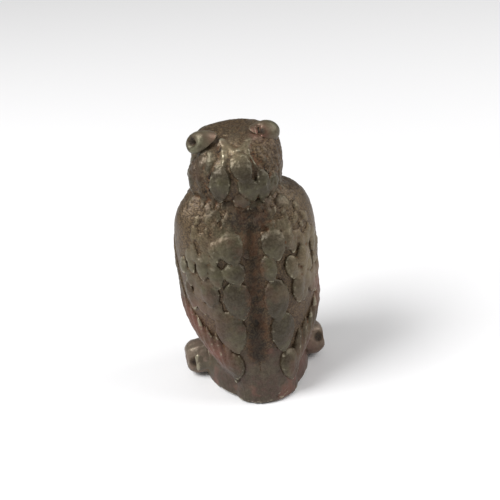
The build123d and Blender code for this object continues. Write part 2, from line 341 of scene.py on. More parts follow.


# %% [markdown]
# ## The tree that lays feathers
# The feathers are placed as bare points, each with attributes for its turn, size and lift. The tree
# puts the blank on every point, realises the instances, and bends them all to the skin: each point
# of a feather drops onto the nearest place of the skin, then moves out along its normal by its
# own height. The same tree dresses the head, the wings, the breast and the thighs.

# %% Geometry Nodes: lay feathers on a skin
def feather_tree():
    tree = bpy.data.node_groups.new("lay feathers", "GeometryNodeTree")
    group_input(tree, "Geometry", "NodeSocketGeometry")
    group_input(tree, "Feather", "NodeSocketObject")
    group_input(tree, "Skin", "NodeSocketObject")
    group_input(tree, "Depth", "NodeSocketFloat", 0.9 * MM)
    group_input(tree, "Finish", "NodeSocketMaterial")
    tree.interface.new_socket("Geometry", in_out="OUTPUT", socket_type="NodeSocketGeometry")
    given = add_node(tree, "NodeGroupInput")
    link = tree.links.new

    feather = add_node(tree, "GeometryNodeObjectInfo", transform_space="ORIGINAL")
    link(given.outputs["Feather"], feather.inputs["Object"])
    skin = add_node(tree, "GeometryNodeObjectInfo", transform_space="ORIGINAL")
    link(given.outputs["Skin"], skin.inputs["Object"])

    place = add_node(tree, "GeometryNodeInstanceOnPoints")
    link(given.outputs["Geometry"], place.inputs["Points"])
    link(feather.outputs["Geometry"], place.inputs["Instance"])
    turn = add_node(tree, "FunctionNodeEulerToRotation")
    link(attribute_node(tree, "turn", "FLOAT_VECTOR"), turn.inputs[0])
    link(turn.outputs[0], place.inputs["Rotation"])
    link(attribute_node(tree, "size", "FLOAT_VECTOR"), place.inputs["Scale"])
    realise = add_node(tree, "GeometryNodeRealizeInstances")
    link(place.outputs["Instances"], realise.inputs["Geometry"])

    # The height of each point: the tip's lift, the rim, a sideways tilt, and the depth below.
    lift = maths(tree, "MULTIPLY", attribute_node(tree, "rise"), attribute_node(tree, "lift"))
    masks = {name: attribute_node(tree, name) for name in ("rim", "rim_height", "swell", "swell_height")}
    rim = maths(tree, "MULTIPLY_ADD", masks["rim"], masks["rim_height"], lift)
    rim = maths(tree, "MULTIPLY_ADD", masks["swell"], masks["swell_height"], rim)
    depth = maths(tree, "MULTIPLY", attribute_node(tree, "under"), given.outputs["Depth"])
    above = maths(tree, "SUBTRACT", 1.0, attribute_node(tree, "under"))
    height = maths(tree, "SUBTRACT", maths(tree, "MULTIPLY", rim, above), depth)

    nearest = add_node(tree, "GeometryNodeProximity", target_element="FACES")
    link(skin.outputs["Geometry"], nearest.inputs[0])
    normal = add_node(tree, "GeometryNodeInputNormal")
    sampled = add_node(tree, "GeometryNodeSampleNearestSurface", data_type="FLOAT_VECTOR")
    link(skin.outputs["Geometry"], sampled.inputs["Mesh"])
    link(normal.outputs[0], sampled.inputs["Value"])
    outwards = add_node(tree, "ShaderNodeVectorMath", operation="SCALE")
    link(sampled.outputs["Value"], outwards.inputs[0])
    link(height, outwards.inputs["Scale"])
    target = add_node(tree, "ShaderNodeVectorMath", operation="ADD")
    link(nearest.outputs["Position"], target.inputs[0])
    link(outwards.outputs[0], target.inputs[1])
    bend = add_node(tree, "GeometryNodeSetPosition")
    link(realise.outputs["Geometry"], bend.inputs["Geometry"])
    link(target.outputs[0], bend.inputs["Position"])

    whole = add_node(tree, "GeometryNodeRealizeInstances")
    link(bend.outputs["Geometry"], whole.inputs["Geometry"])
    finish = add_node(tree, "GeometryNodeSetMaterial")
    link(whole.outputs["Geometry"], finish.inputs["Geometry"])
    link(given.outputs["Finish"], finish.inputs["Material"])
    result = add_node(tree, "NodeGroupOutput")
    link(finish.outputs["Geometry"], result.inputs[0])
    return tree


LAY_FEATHERS = feather_tree()


def use_tree(made, tree, **values):
    """Puts a node tree on an object, and sets its inputs by their identifiers."""
    modifier = made.modifiers.new(tree.name, "NODES")
    modifier.node_group = tree
    inputs = {i.name: i.identifier for i in tree.interface.items_tree if i.in_out == "INPUT"}
    for name, value in values.items():
        modifier[inputs[name.replace("_", " ").capitalize()]] = value
    return settle(made)


# %% [markdown]
# ## Where the feathers go
# A `Plumage` collects places on one skin. A feather is given by a point of the skin, the way its tip
# points, and its size in millimetres. Points are found by looking at the skin from outside, either
# straight from behind or from any bearing round the owl (0 is its back, 90 its left side).

# %% Places for feathers
FAR_OFF, HIGH_UP = 60 * MM, 90 * MM


class Plumage:
    """A growing list of feathers on one skin."""

    def __init__(self, skin):
        self.skin = skin
        self.tree = BVHTree.FromObject(skin, bpy.context.evaluated_depsgraph_get())
        self.places = []

    def look(self, start, way):
        """The first point and normal of the skin on a line, or None where it misses."""
        point, normal, _, _ = self.tree.ray_cast(Vector(start), Vector(way))
        return (point, normal) if point else None

    def seen_from(self, bearing, height, centre=(0, 0)):
        """The place seen from a bearing in degrees, at a height in mm."""
        a = math.radians(bearing)
        out = Vector((math.sin(a), math.cos(a), 0))
        start = Vector((centre[0] * MM, centre[1] * MM, height * MM)) + out * FAR_OFF
        return self.look(start, -out)

    def above(self, x, y):
        """The place seen from straight above, in mm."""
        return self.look((x * MM, y * MM, HIGH_UP), (0, 0, -1))

    def front(self, x, height):
        """The place seen straight from the front, in mm."""
        return self.look((x * MM, -FAR_OFF, height * MM), (0, 1, 0))

    def behind(self, x, height):
        """The place seen straight from behind, in mm."""
        return self.look((x * MM, FAR_OFF, height * MM), (0, -1, 0))

    def add(self, found, width, length, lift, turn=0.0, rim=0.3, swell=0.3, pointing=(0, 0, -1)):
        """One feather with its middle at a place found. A turn is in degrees, about the skin's normal."""
        if not found:
            return
        point, normal = found
        tip = Vector(pointing)
        tip = (tip - normal * tip.dot(normal)).normalized()
        tip = Matrix.Rotation(math.radians(turn), 3, normal) @ tip
        across = tip.cross(normal).normalized()
        frame_of_feather = Matrix((across, tip, normal)).transposed()
        root = point - tip * length * MM / 2
        self.places.append((root, frame_of_feather.to_euler(), width, length, lift, rim, swell))

    def between(self, root, tip, width, lift, rim=0.3, swell=0.3, overlap=1.0):
        """One feather from a root to a tip, both points found on the skin."""
        if not root or not tip:
            return
        middle = (root[0] + tip[0]) / 2
        point, normal, _, _ = self.tree.find_nearest(middle)
        along = tip[0] - root[0]
        length = along.length / MM * overlap
        self.add((point, normal), width, length, lift, rim=rim, swell=swell, pointing=along)

    def lay(self, name, blank, depth=1.3):
        """Lays every feather so far, and starts a new list."""
        made = mesh_of(name, [p[0] for p in self.places], [])
        columns = {
            "turn": ("FLOAT_VECTOR", [c for p in self.places for c in p[1]]),
            "size": ("FLOAT_VECTOR", [c for p in self.places for c in (p[2] * MM, p[3] * MM, 1)]),
            "lift": ("FLOAT", [p[4] * MM for p in self.places]),
            "rim_height": ("FLOAT", [p[5] * MM for p in self.places]),
            "swell_height": ("FLOAT", [p[6] * MM for p in self.places]),
        }
        for title, (kind, values) in columns.items():
            attribute = made.data.attributes.new(title, kind, "POINT")
            attribute.data.foreach_set("vector" if kind == "FLOAT_VECTOR" else "value", values)
        use_tree(made, LAY_FEATHERS, feather=blank, skin=self.skin, depth=depth * MM)
        print(name, "has", len(self.places), "feathers")
        self.places = []
        return made


# %% [markdown]
# ## Weather and wear
# A bronze that has been handled for a century has no crisp edge left. Another tree gives every
# casting the soft lumps of its wax model and the fine sand grain of its mould, pushing the surface
# in and out along its normal.

# %% Geometry Nodes: weather a casting
def weather_tree():
    tree = bpy.data.node_groups.new("weather a casting", "GeometryNodeTree")
    group_input(tree, "Geometry", "NodeSocketGeometry")
    group_input(tree, "Lump size", "NodeSocketFloat", 1.6 * MM)
    group_input(tree, "Lump height", "NodeSocketFloat", 0.12 * MM)
    group_input(tree, "Grain size", "NodeSocketFloat", 0.5 * MM)
    group_input(tree, "Grain height", "NodeSocketFloat", 0.05 * MM)
    group_input(tree, "Seed", "NodeSocketFloat", 0.0)
    group_input(tree, "Finish", "NodeSocketMaterial")
    tree.interface.new_socket("Geometry", in_out="OUTPUT", socket_type="NodeSocketGeometry")
    given = add_node(tree, "NodeGroupInput")
    link = tree.links.new
    position = add_node(tree, "GeometryNodeInputPosition").outputs[0]

    offsets = []
    for kind in ("Lump", "Grain"):
        noise = add_node(tree, "ShaderNodeTexNoise", noise_dimensions="4D")
        link(position, noise.inputs["Vector"])
        link(given.outputs["Seed"], noise.inputs["W"])
        link(maths(tree, "DIVIDE", 1.0, given.outputs[f"{kind} size"]), noise.inputs["Scale"])
        noise.inputs["Detail"].default_value = 1.5
        centred = maths(tree, "SUBTRACT", noise.outputs[0], 0.5)
        offsets.append(maths(tree, "MULTIPLY", centred, given.outputs[f"{kind} height"]))
    total = maths(tree, "MULTIPLY", maths(tree, "ADD", *offsets), 2.0)

    outwards = add_node(tree, "ShaderNodeVectorMath", operation="SCALE")
    link(add_node(tree, "GeometryNodeInputNormal").outputs[0], outwards.inputs[0])
    link(total, outwards.inputs["Scale"])
    shift = add_node(tree, "GeometryNodeSetPosition")
    link(given.outputs["Geometry"], shift.inputs["Geometry"])
    link(outwards.outputs[0], shift.inputs["Offset"])
    whole = add_node(tree, "GeometryNodeRealizeInstances")
    link(shift.outputs["Geometry"], whole.inputs["Geometry"])
    finish = add_node(tree, "GeometryNodeSetMaterial")
    link(whole.outputs["Geometry"], finish.inputs["Geometry"])
    link(given.outputs["Finish"], finish.inputs["Material"])
    link(finish.outputs["Geometry"], add_node(tree, "NodeGroupOutput").inputs[0])
    return tree


WEATHER = weather_tree()


# %% [markdown]
# ## High places and hollows
# Hands rub the high places bright and leave dirt in the hollows, and the hollows also carry painted
# shade. Each casting is compared with two blurred copies of itself, one a little and one a lot: what
# stands above the blur is worn, and what lies below it is hollow. Both are stored on the mesh as
# attributes, which the finish reads.

# %% Relief masks
FINE_BLUR, BROAD_BLUR = 10, 70


def store(made, title, values):
    attribute = made.data.attributes.get(title) or made.data.attributes.new(title, "FLOAT", "POINT")
    attribute.data.foreach_set("value", np.asarray(values, np.float32))


def read_relief(made):
    """Stores how far each point stands above or below its blurred surroundings, fine and broad."""
    points, normals = points_of(made), normals_of(made)
    fine = ((points - blurred(made, FINE_BLUR)) * normals).sum(1) / MM
    broad = ((points - blurred(made, BROAD_BLUR)) * normals).sum(1) / MM
    store(made, "worn", smooth_step(fine, 0.012, 0.09) * 0.75 + smooth_step(broad, 0.06, 0.5) * 0.5)
    store(made, "hollow", smooth_step(-fine, 0.01, 0.09) * 0.75 + smooth_step(-broad, 0.05, 0.5) * 0.9)


# %% [markdown]
# ## Building shader groups
# An effect that several finishes share is a group with named inputs and outputs, built once and
# placed in each material with its own values. These helpers make a group, a noise and a soft step.

# %% Helpers for shader groups
def shader_group(name, inputs, outputs):
    tree = bpy.data.node_groups.new(name, "ShaderNodeTree")
    for title, default in inputs.items():
        kind = "NodeSocketVector" if default is None else "NodeSocketFloat"
        socket = tree.interface.new_socket(title, in_out="INPUT", socket_type=kind)
        if default is not None:
            socket.default_value = default
    for title in outputs:
        tree.interface.new_socket(title, in_out="OUTPUT", socket_type="NodeSocketFloat")
    return tree, add_node(tree, "NodeGroupInput"), add_node(tree, "NodeGroupOutput")


def noise_value(tree, vector, scale, detail=2.0, rough=0.5):
    noise = add_node(tree, "ShaderNodeTexNoise")
    tree.links.new(vector, noise.inputs["Vector"])
    if isinstance(scale, (int, float)):
        noise.inputs["Scale"].default_value = scale
    else:
        tree.links.new(scale, noise.inputs["Scale"])
    noise.inputs["Detail"].default_value = detail
    noise.inputs["Roughness"].default_value = rough
    return noise.outputs[0]


def ramp_value(tree, value, low, high):
    """A smooth 0 to 1 step between low and high."""
    node = add_node(tree, "ShaderNodeMapRange", interpolation_type="SMOOTHSTEP")
    tree.links.new(value, node.inputs["Value"])
    node.inputs["From Min"].default_value = low
    node.inputs["From Max"].default_value = high
    return node.outputs["Result"]


# %% [markdown]
# ## Grain, wear, painted shade and patches
# Old bronze is never one brown, and three effects break it up. `casting grain` gives the fine
# height of the mould's sand and a speckle. `edge wear and painted shade` makes the relief masks
# ragged with noise, picks spots of rust in the hollows, and gives painted shade in the hollows and
# darker painted shade in the deepest. `patches` picks broad areas of another tone. The groups only
# give masks and heights, so the Principled shader stays in the material.

# %% Shader groups: grain, wear and painted shade, patches
def grain_group():
    tree, given, result = shader_group(
        "casting grain", {"Place": None, "Size mm": 0.45, "Pitting": 0.5}, ["Height", "Speckle"]
    )
    scale = maths(tree, "DIVIDE", 1.0 / MM, given.outputs["Size mm"])
    fine = noise_value(tree, given.outputs["Place"], scale, detail=3.0, rough=0.6)
    coarse = noise_value(tree, given.outputs["Place"], maths(tree, "MULTIPLY", scale, 0.3), detail=2.0)
    pits = add_node(tree, "ShaderNodeTexVoronoi")
    tree.links.new(given.outputs["Place"], pits.inputs["Vector"])
    tree.links.new(maths(tree, "MULTIPLY", scale, 0.5), pits.inputs["Scale"])
    pit = ramp_value(tree, pits.outputs["Distance"], 0.05, 0.3)
    sunk = maths(tree, "MULTIPLY", maths(tree, "SUBTRACT", pit, 1.0), given.outputs["Pitting"])
    height = maths(tree, "ADD", maths(tree, "MULTIPLY_ADD", coarse, 0.8, fine), sunk)
    tree.links.new(height, result.inputs["Height"])
    tree.links.new(ramp_value(tree, fine, 0.42, 0.62), result.inputs["Speckle"])
    return tree


def wear_and_shade_group():
    tree, given, result = shader_group(
        "edge wear and painted shade", {"Place": None, "Worn": 0.0, "Hollow": 0.0, "Break up": 0.5},
        ["Rubbed", "Dirt and shade", "Rust", "Deep shade"],
    )
    ragged = noise_value(tree, given.outputs["Place"], 0.9 / MM, detail=4.0, rough=0.65)
    off_middle = maths(tree, "MULTIPLY", maths(tree, "SUBTRACT", ragged, 0.5), given.outputs["Break up"])
    worn = maths(tree, "ADD", given.outputs["Worn"], off_middle)
    hollow = maths(tree, "ADD", given.outputs["Hollow"], off_middle)
    spots = noise_value(tree, given.outputs["Place"], 0.28 / MM, detail=3.0, rough=0.6)
    in_hollow, spotty = ramp_value(tree, hollow, 0.06, 0.35), ramp_value(tree, spots, 0.44, 0.62)
    rust = maths(tree, "MULTIPLY", in_hollow, spotty)
    tree.links.new(ramp_value(tree, worn, 0.2, 0.9), result.inputs["Rubbed"])
    # Dirt and shade: dirt in the hollows that also stands in for their shade. Deep shade: painted shade,
    # near black, in the deepest hollows.
    tree.links.new(ramp_value(tree, hollow, 0.08, 0.45), result.inputs["Dirt and shade"])
    tree.links.new(ramp_value(tree, hollow, 0.55, 1.0), result.inputs["Deep shade"])
    tree.links.new(rust, result.inputs["Rust"])
    return tree


def patch_group():
    tree, given, result = shader_group(
        "patches", {"Place": None, "Size mm": 6.0, "Spread": 0.5}, ["Olive", "Pink", "Mottle"]
    )
    scale = maths(tree, "DIVIDE", 1.0 / MM, given.outputs["Size mm"])
    broad = noise_value(tree, given.outputs["Place"], scale, detail=3.0, rough=0.55)
    moved = add_node(tree, "ShaderNodeVectorMath", operation="ADD")
    tree.links.new(given.outputs["Place"], moved.inputs[0])
    moved.inputs[1].default_value = (0.31, 0.17, 0.23)
    other = noise_value(tree, moved.outputs[0], scale, detail=3.0, rough=0.55)
    fine_scale = maths(tree, "MULTIPLY", scale, 5.0)
    mottle = noise_value(tree, given.outputs["Place"], fine_scale, detail=3.0, rough=0.6)
    tree.links.new(ramp_value(tree, broad, 0.42, 0.6), result.inputs["Olive"])
    tree.links.new(ramp_value(tree, other, 0.5, 0.66), result.inputs["Pink"])
    tree.links.new(ramp_value(tree, mottle, 0.35, 0.65), result.inputs["Mottle"])
    return tree


GRAIN, WEAR_AND_SHADE, PATCHES = grain_group(), wear_and_shade_group(), patch_group()
print("shader groups:", [group.name for group in (GRAIN, WEAR_AND_SHADE, PATCHES)])


# %% [markdown]
# ## Coats of colour
# A patina is built up in coats, and so is its material: every coat is a colour that covers the ones
# below it where a mask says so. `coat` is that one step. A share is a mask stored on the mesh.

# %% Helpers for materials
def place_group(tree, group, vector, **values):
    node = add_node(tree, "ShaderNodeGroup", node_tree=group)
    tree.links.new(vector, node.inputs["Place"])
    for title, value in values.items():
        socket = node.inputs[title.replace("_", " ")]
        if isinstance(value, (int, float)):
            socket.default_value = value
        else:
            tree.links.new(value, socket)
    return node.outputs


def mix_colour(tree, share, a, b):
    """Colour a, turning to colour b by share. A colour is a socket or three numbers."""
    node = add_node(tree, "ShaderNodeMix", data_type="RGBA")
    for socket, value in ((node.inputs["Factor"], share), (node.inputs["A"], a), (node.inputs["B"], b)):
        if isinstance(value, (int, float)):
            socket.default_value = value
        elif isinstance(value, tuple):
            socket.default_value = (*value, 1.0)
        else:
            tree.links.new(value, socket)
    return node.outputs["Result"]


def coat(tree, under, paint, mask, strength=1.0):
    """The colour so far, covered with a paint as far as a mask says."""
    return mix_colour(tree, maths(tree, "MULTIPLY", mask, strength), under, paint)


def new_material(name):
    material = bpy.data.materials.new(name)
    material.use_nodes = True
    tree = material.node_tree
    shader = tree.nodes["Principled BSDF"]
    place = add_node(tree, "ShaderNodeTexCoord").outputs["Object"]
    return material, tree, shader, place


def share_of(tree, title):
    """A mask stored on the mesh's points."""
    return add_node(tree, "ShaderNodeAttribute", attribute_name=title).outputs["Fac"]


def bump_from(tree, height, strength, distance):
    bump = add_node(tree, "ShaderNodeBump")
    bump.inputs["Strength"].default_value = strength
    bump.inputs["Distance"].default_value = distance * MM
    tree.links.new(height, bump.inputs["Height"])
    return bump.outputs["Normal"]


# %% [markdown]
# ## The bronze
# Raised feathers are rubbed to a greyish olive and their thin rims are lightest of all. The bare
# ground between feathers is a warm dark brown with golden grit, made darker as painted shade between
# the feathers, the hollows hold orange rust, and the deepest are painted black as shade. Broad
# stains have gone pink-brown, pale or dusty ochre. The skirt, the branch and the tufts have tones of
# their own, so they are the same finish with other base colours.
# The metal is only half metallic, because a patina is a mineral crust and not bare metal.

# %% Bronze finishes
DARK_BROWN = (0.038, 0.028, 0.015)
OLIVE_BROWN = (0.078, 0.068, 0.036)
SHADED_GROUND_BROWN = (0.040, 0.021, 0.010)
RUBBED_GREY = (0.300, 0.268, 0.190)
PAINTED_SHADE_BLACK = (0.010, 0.006, 0.004)
GOLDEN_GRIT = (0.240, 0.145, 0.058)
RUST_ORANGE = (0.140, 0.060, 0.024)
PINK_BROWN = (0.150, 0.062, 0.044)
OCHRE_DUST = (0.190, 0.140, 0.075)


def bronze(name, body=DARK_BROWN, olive=OLIVE_BROWN, pink=0.2, rust=0.65):
    material, tree, shader, place = new_material(name)
    patches = place_group(tree, PATCHES, place, Size_mm=6.0)
    wear = place_group(tree, WEAR_AND_SHADE, place, Worn=share_of(tree, "worn"), Hollow=share_of(tree, "hollow"))
    grain = place_group(tree, GRAIN, place, Size_mm=0.42, Pitting=0.6)
    blush, dust = share_of(tree, "blush"), share_of(tree, "dust")

    colour = mix_colour(tree, patches["Olive"], body, olive)
    colour = coat(tree, colour, DARK_BROWN, patches["Mottle"], 0.6)
    pinkish = maths(tree, "MULTIPLY_ADD", patches["Pink"], pink, maths(tree, "MULTIPLY", blush, 0.85))
    colour = mix_colour(tree, maths(tree, "MINIMUM", pinkish, 1.0), colour, PINK_BROWN)
    colour = coat(tree, colour, RUBBED_GREY, share_of(tree, "pale"), 0.30)
    colour = coat(tree, colour, OCHRE_DUST, dust, maths(tree, "MULTIPLY_ADD", grain["Speckle"], 0.5, 0.4))
    colour = coat(tree, colour, RUBBED_GREY, wear["Rubbed"], 0.95)
    # The bare ground and the dirty hollows: brown with golden grit, partly their own colour and partly
    # painted shade between the feathers and in the hollows.
    ground = coat(tree, SHADED_GROUND_BROWN, GOLDEN_GRIT, grain["Speckle"], 0.36)
    bare = maths(tree, "MULTIPLY", share_of(tree, "ground"), 0.8)
    grit_and_shade_places = maths(tree, "MAXIMUM", maths(tree, "MULTIPLY", wear["Dirt and shade"], 0.8), bare)
    colour = mix_colour(tree, grit_and_shade_places, colour, ground)
    colour = coat(tree, colour, RUST_ORANGE, wear["Rust"], rust)
    # Painted shade: the deepest hollows are painted near black.
    colour = coat(tree, colour, PAINTED_SHADE_BLACK, wear["Deep shade"], 0.9)
    # Painted shade down the valley, under the nape and in shaded hollows, broken up a little by the
    # mottle.
    mottled_painted_shade = maths(tree, "MULTIPLY_ADD", patches["Mottle"], -0.3, share_of(tree, "painted_shade"))
    colour = coat(tree, colour, PAINTED_SHADE_BLACK, ramp_value(tree, mottled_painted_shade, 0.0, 1.0), 0.8)
    colour = coat(tree, colour, RUBBED_GREY, grain["Speckle"], 0.08)
    tree.links.new(colour, shader.inputs["Base Color"])

    rough = maths(tree, "MULTIPLY_ADD", wear["Dirt and shade"], 0.25, 0.42)
    rough = maths(tree, "MULTIPLY_ADD", wear["Rubbed"], -0.10, rough)
    rough = maths(tree, "MULTIPLY_ADD", grain["Speckle"], 0.08, rough)
    tree.links.new(rough, shader.inputs["Roughness"])
    tree.links.new(maths(tree, "MULTIPLY_ADD", wear["Rubbed"], 0.2, 0.45), shader.inputs["Metallic"])
    gritty = maths(tree, "MULTIPLY_ADD", maths(tree, "MAXIMUM", wear["Dirt and shade"], bare), 1.3, 0.45)
    height = maths(tree, "MULTIPLY", grain["Height"], gritty)
    tree.links.new(bump_from(tree, height, 0.7, 0.10), shader.inputs["Normal"])
    return material


PATINA = bronze("patinated_bronze")
SKIRT_PATINA = bronze(
    "patinated_bronze_skirt", body=(0.064, 0.036, 0.026), olive=(0.072, 0.053, 0.034), pink=0.6, rust=0.7,
)
BRANCH_PATINA = bronze(
    "patinated_bronze_branch", body=(0.115, 0.068, 0.052), olive=(0.150, 0.098, 0.075), rust=0.4,
)
TUFT_PATINA = bronze(
    "patinated_bronze_tufts", body=(0.090, 0.076, 0.046), olive=(0.110, 0.105, 0.062), rust=0.4,
)
print("bronzes:", [m.name for m in (PATINA, SKIRT_PATINA, BRANCH_PATINA, TUFT_PATINA)])


# %% [markdown]
# ## Glass, brass and steel
# The eye is dark in the middle and amber round it, with fine spokes and a clear coat. Brass and
# steel are metals with a fine brushed grain and some dirt.

# %% Glass, brass and steel
PUPIL_EDGE, IRIS_EDGE = (1.0, 1.15), (1.7, 2.3)


def amber_glass():
    material, tree, shader, place = new_material("eye_glass")
    from_pupil = share_of(tree, "from_pupil")
    spokes = noise_value(tree, place, 2.2 / MM, detail=3.0)
    iris = mix_colour(tree, ramp_value(tree, spokes, 0.35, 0.65), (0.42, 0.15, 0.02), (0.75, 0.36, 0.05))
    iris = mix_colour(tree, ramp_value(tree, from_pupil, *IRIS_EDGE), iris, (0.06, 0.02, 0.01))
    colour = mix_colour(tree, ramp_value(tree, from_pupil, *PUPIL_EDGE), (0.004, 0.004, 0.004), iris)
    tree.links.new(colour, shader.inputs["Base Color"])
    shader.inputs["Roughness"].default_value = 0.08
    shader.inputs["Coat Weight"].default_value = 0.8
    return material


def bare_metal(name, colour, dirt):
    material, tree, shader, place = new_material(name)
    grain = place_group(tree, GRAIN, place, Size_mm=0.3, Pitting=0.2)
    patches = place_group(tree, PATCHES, place, Size_mm=3.0)
    tone = mix_colour(tree, maths(tree, "MULTIPLY", patches["Mottle"], 0.5), colour, dirt)
    tree.links.new(tone, shader.inputs["Base Color"])
    tree.links.new(maths(tree, "MULTIPLY_ADD", patches["Mottle"], 0.25, 0.3), shader.inputs["Roughness"])
    shader.inputs["Metallic"].default_value = 0.9
    tree.links.new(bump_from(tree, grain["Height"], 0.3, 0.05), shader.inputs["Normal"])
    return material


AMBER = amber_glass()
RAW_BRASS = bare_metal("raw_brass", (0.26, 0.17, 0.08), (0.08, 0.05, 0.03))
STEEL = bare_metal("steel_fixings", (0.42, 0.41, 0.39), (0.16, 0.14, 0.12))
print("finishes:", [m.name for m in bpy.data.materials])


# %% [markdown]
# ## Skins and slices
# Feathers need a smooth skin to lie on, so some castings' outside is fused and softened, and sunk a
# little to leave room for the feathers' height. `slice_of` cuts a closed block from a skin, which
# is how each casting later gets its own surface back.

# %% Skins and slices
def skin_of(*nodes, grid=0.6, soften=4, sink=0.0):
    """A smooth skin to lay feathers on: the joint outside of some castings, sunk a little."""
    corners = [v.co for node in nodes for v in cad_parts[node].data.vertices]
    skin = fuse("skin", [hull_of("outside", corners)], grid, soften)
    return move_points(skin, points_of(skin) - normals_of(skin) * sink * MM)


def slice_of(source, name, low=(None, None, None), high=(None, None, None), out=0.0):
    """A closed copy of a skin, cut off beyond limits in mm, and grown outwards a little."""
    shape = bmesh.new()
    shape.from_mesh(source.data)
    for axis in range(3):
        for limit, way in ((low[axis], -1), (high[axis], 1)):
            if limit is None:
                continue
            place, normal = [0, 0, 0], [0, 0, 0]
            place[axis], normal[axis] = limit * MM, way
            everything = [*shape.verts, *shape.edges, *shape.faces]
            cut = bmesh.ops.bisect_plane(
                shape, geom=everything, plane_co=place, plane_no=normal, clear_outer=True,
            )
            edges = [part for part in cut["geom_cut"] if isinstance(part, bmesh.types.BMEdge)]
            bmesh.ops.holes_fill(shape, edges=edges, sides=0)
    mesh = bpy.data.meshes.new(name)
    shape.to_mesh(mesh)
    shape.free()
    made = new_object(name, mesh)
    return move_points(made, points_of(made) + normals_of(made) * out * MM)


# %% [markdown]
# ## One skin for the whole bird
# The castings flow into each other: the nape into the shoulders, the tail into the mound, the
# branch into both. So the feathers are laid on one skin fused from all of them. It is blurred
# strongly where castings should flow together, low down and round the neck, and hardly anywhere
# else. The body, the head, the tail and the mound are later cut from this skin with level or upright
# planes, and the wings' feathers lie on it, so these surfaces run on over their joints.

# %% The whole skin
JOINED_TOP = 51.0
LOW_FROM, LOW_TO = 17, 25
NECK_HEIGHT, NECK_SPREAD = 53.5, 3.5

both_wings = skin_of("left_wing", "right_wing", sink=0.5)
whole_skin = fuse(
    "whole_skin",
    [
        slice_of(both_wings, "lower_back", high=(None, None, JOINED_TOP)),
        skin_of("left_wing", sink=0.5), skin_of("right_wing", sink=0.5), skin_of("body_shell", sink=0.45),
        skin_of("head_shell", sink=0.45), skin_of("tail_fan", sink=0.15), skin_of("base_mound"),
        skin_of("perch_log", sink=0.9),
    ],
    grid=0.45, soften=3,
)
crisp, rounded = points_of(whole_skin), blurred(whole_skin, 34)
height = crisp[:, 2] / MM
# The lowest few millimetres stay crisp, so that the foot keeps its size.
low_down = (1 - smooth_step(height, LOW_FROM, LOW_TO)) * (0.2 + 0.8 * smooth_step(height, 0.5, 5))
from_axis = np.hypot(crisp[:, 0], crisp[:, 1] + 2 * MM) / MM
round_neck = np.exp(-(((height - NECK_HEIGHT) / NECK_SPREAD) ** 2))
round_neck = round_neck * (1 - smooth_step(from_axis, 10.0, 12.5))
flow = np.maximum(low_down, round_neck)[:, None]
move_points(whole_skin, crisp + (rounded - crisp) * flow)
found_on = Plumage(whole_skin)
bpy.data.objects.remove(both_wings)
print("the whole skin has", len(whole_skin.data.polygons), "faces")


# %% [markdown]
# ## Thumb marks
# No real owl of this kind is even. Its head is fuller low on one side, its shoulders are square, a soft
# valley runs down between the wings, and the skin creases under the nape. On each side of the valley
# a wide shallow trough makes room for the large feathers. All of these are presses on the whole
# skin, so they run on from one casting to the next.

# %% Pressing the whole skin
# Places across and up, in mm, as seen from behind.
VALLEY_PLACES = ((0.3, 48.5), (0.7, 41), (0.9, 36), (1.2, 28), (1.4, 24))
COLUMN_PLACES = (
    ((6.0, 46), (5.4, 38), (6.0, 28), (7.2, 18)), ((-4.5, 46), (-4.0, 36), (-4.6, 24), (-5.6, 14)),
)
MANTLE_CREASES = (
    ((-3.6, 52.5), (-3.4, 47.5)), ((2.2, 52.6), (2.4, 48.0)), ((4.2, 52.8), (4.0, 49)),
    ((-1.4, 52.5), (-1.2, 48.5)), ((7.0, 53), (6.2, 49.6)),
)

# The head is fuller low on its left, and flatter on top there.
press_spot(whole_skin, found_on.seen_from(92, 57.8), radius=4.2, depth=-1.8)
press_spot(whole_skin, found_on.seen_from(94, 63.5), radius=3.6, depth=-0.9)
# The shoulders are square: lower beside the neck, fuller outside.
press_spot(whole_skin, found_on.above(10.6, -3.0), radius=3.4, depth=2.8)
press_spot(whole_skin, found_on.above(-11.0, -3.0), radius=3.2, depth=1.0)
press_spot(whole_skin, found_on.seen_from(86, 51.0), radius=3.4, depth=-0.9)
press_spot(whole_skin, found_on.above(3.5, 0.0), radius=5.0, depth=1.1)

VALLEY = [found_on.behind(*place) for place in VALLEY_PLACES]
VALLEY_FOOT = [found_on.behind(*place) for place in ((1.3, 27), (1.7, 21), (2.2, 15))]
MANTLE = [found_on.behind(*place) for place in ((-2.4, 51.5), (0.3, 50.0), (2.8, 51.5))]
press(whole_skin, VALLEY, width=1.5, depth=0.9)
press(whole_skin, VALLEY, width=3.2, depth=0.7)
for crease in MANTLE_CREASES:
    press(whole_skin, [found_on.behind(*place) for place in crease], width=0.6, depth=0.35)
foot_of_valley = [found_on.behind(*place) for place in ((1.4, 24), (2.4, 17), (2.2, 11))]
press(whole_skin, foot_of_valley, width=1.6, depth=0.25)
for column in COLUMN_PLACES:
    press(whole_skin, [found_on.behind(*place) for place in column], width=4.5, depth=0.5)
found_on = Plumage(whole_skin)
print("pressed", len(MANTLE_CREASES) + len(COLUMN_PLACES) + 3, "paths")


# %% [markdown]
# ## Stains and painted shade
# Every old bronze has stains that no rule gives, from where it was held and how it was lit. They are
# soft spots at places on the bird: pink-brown low on the left wing, down the right flank and on the
# tufts, ochre dust on the crown and the shoulders, and a paler tone outside on the wings and on
# the branch. Painted shade darkens the valley between the wings and the skin under the nape.

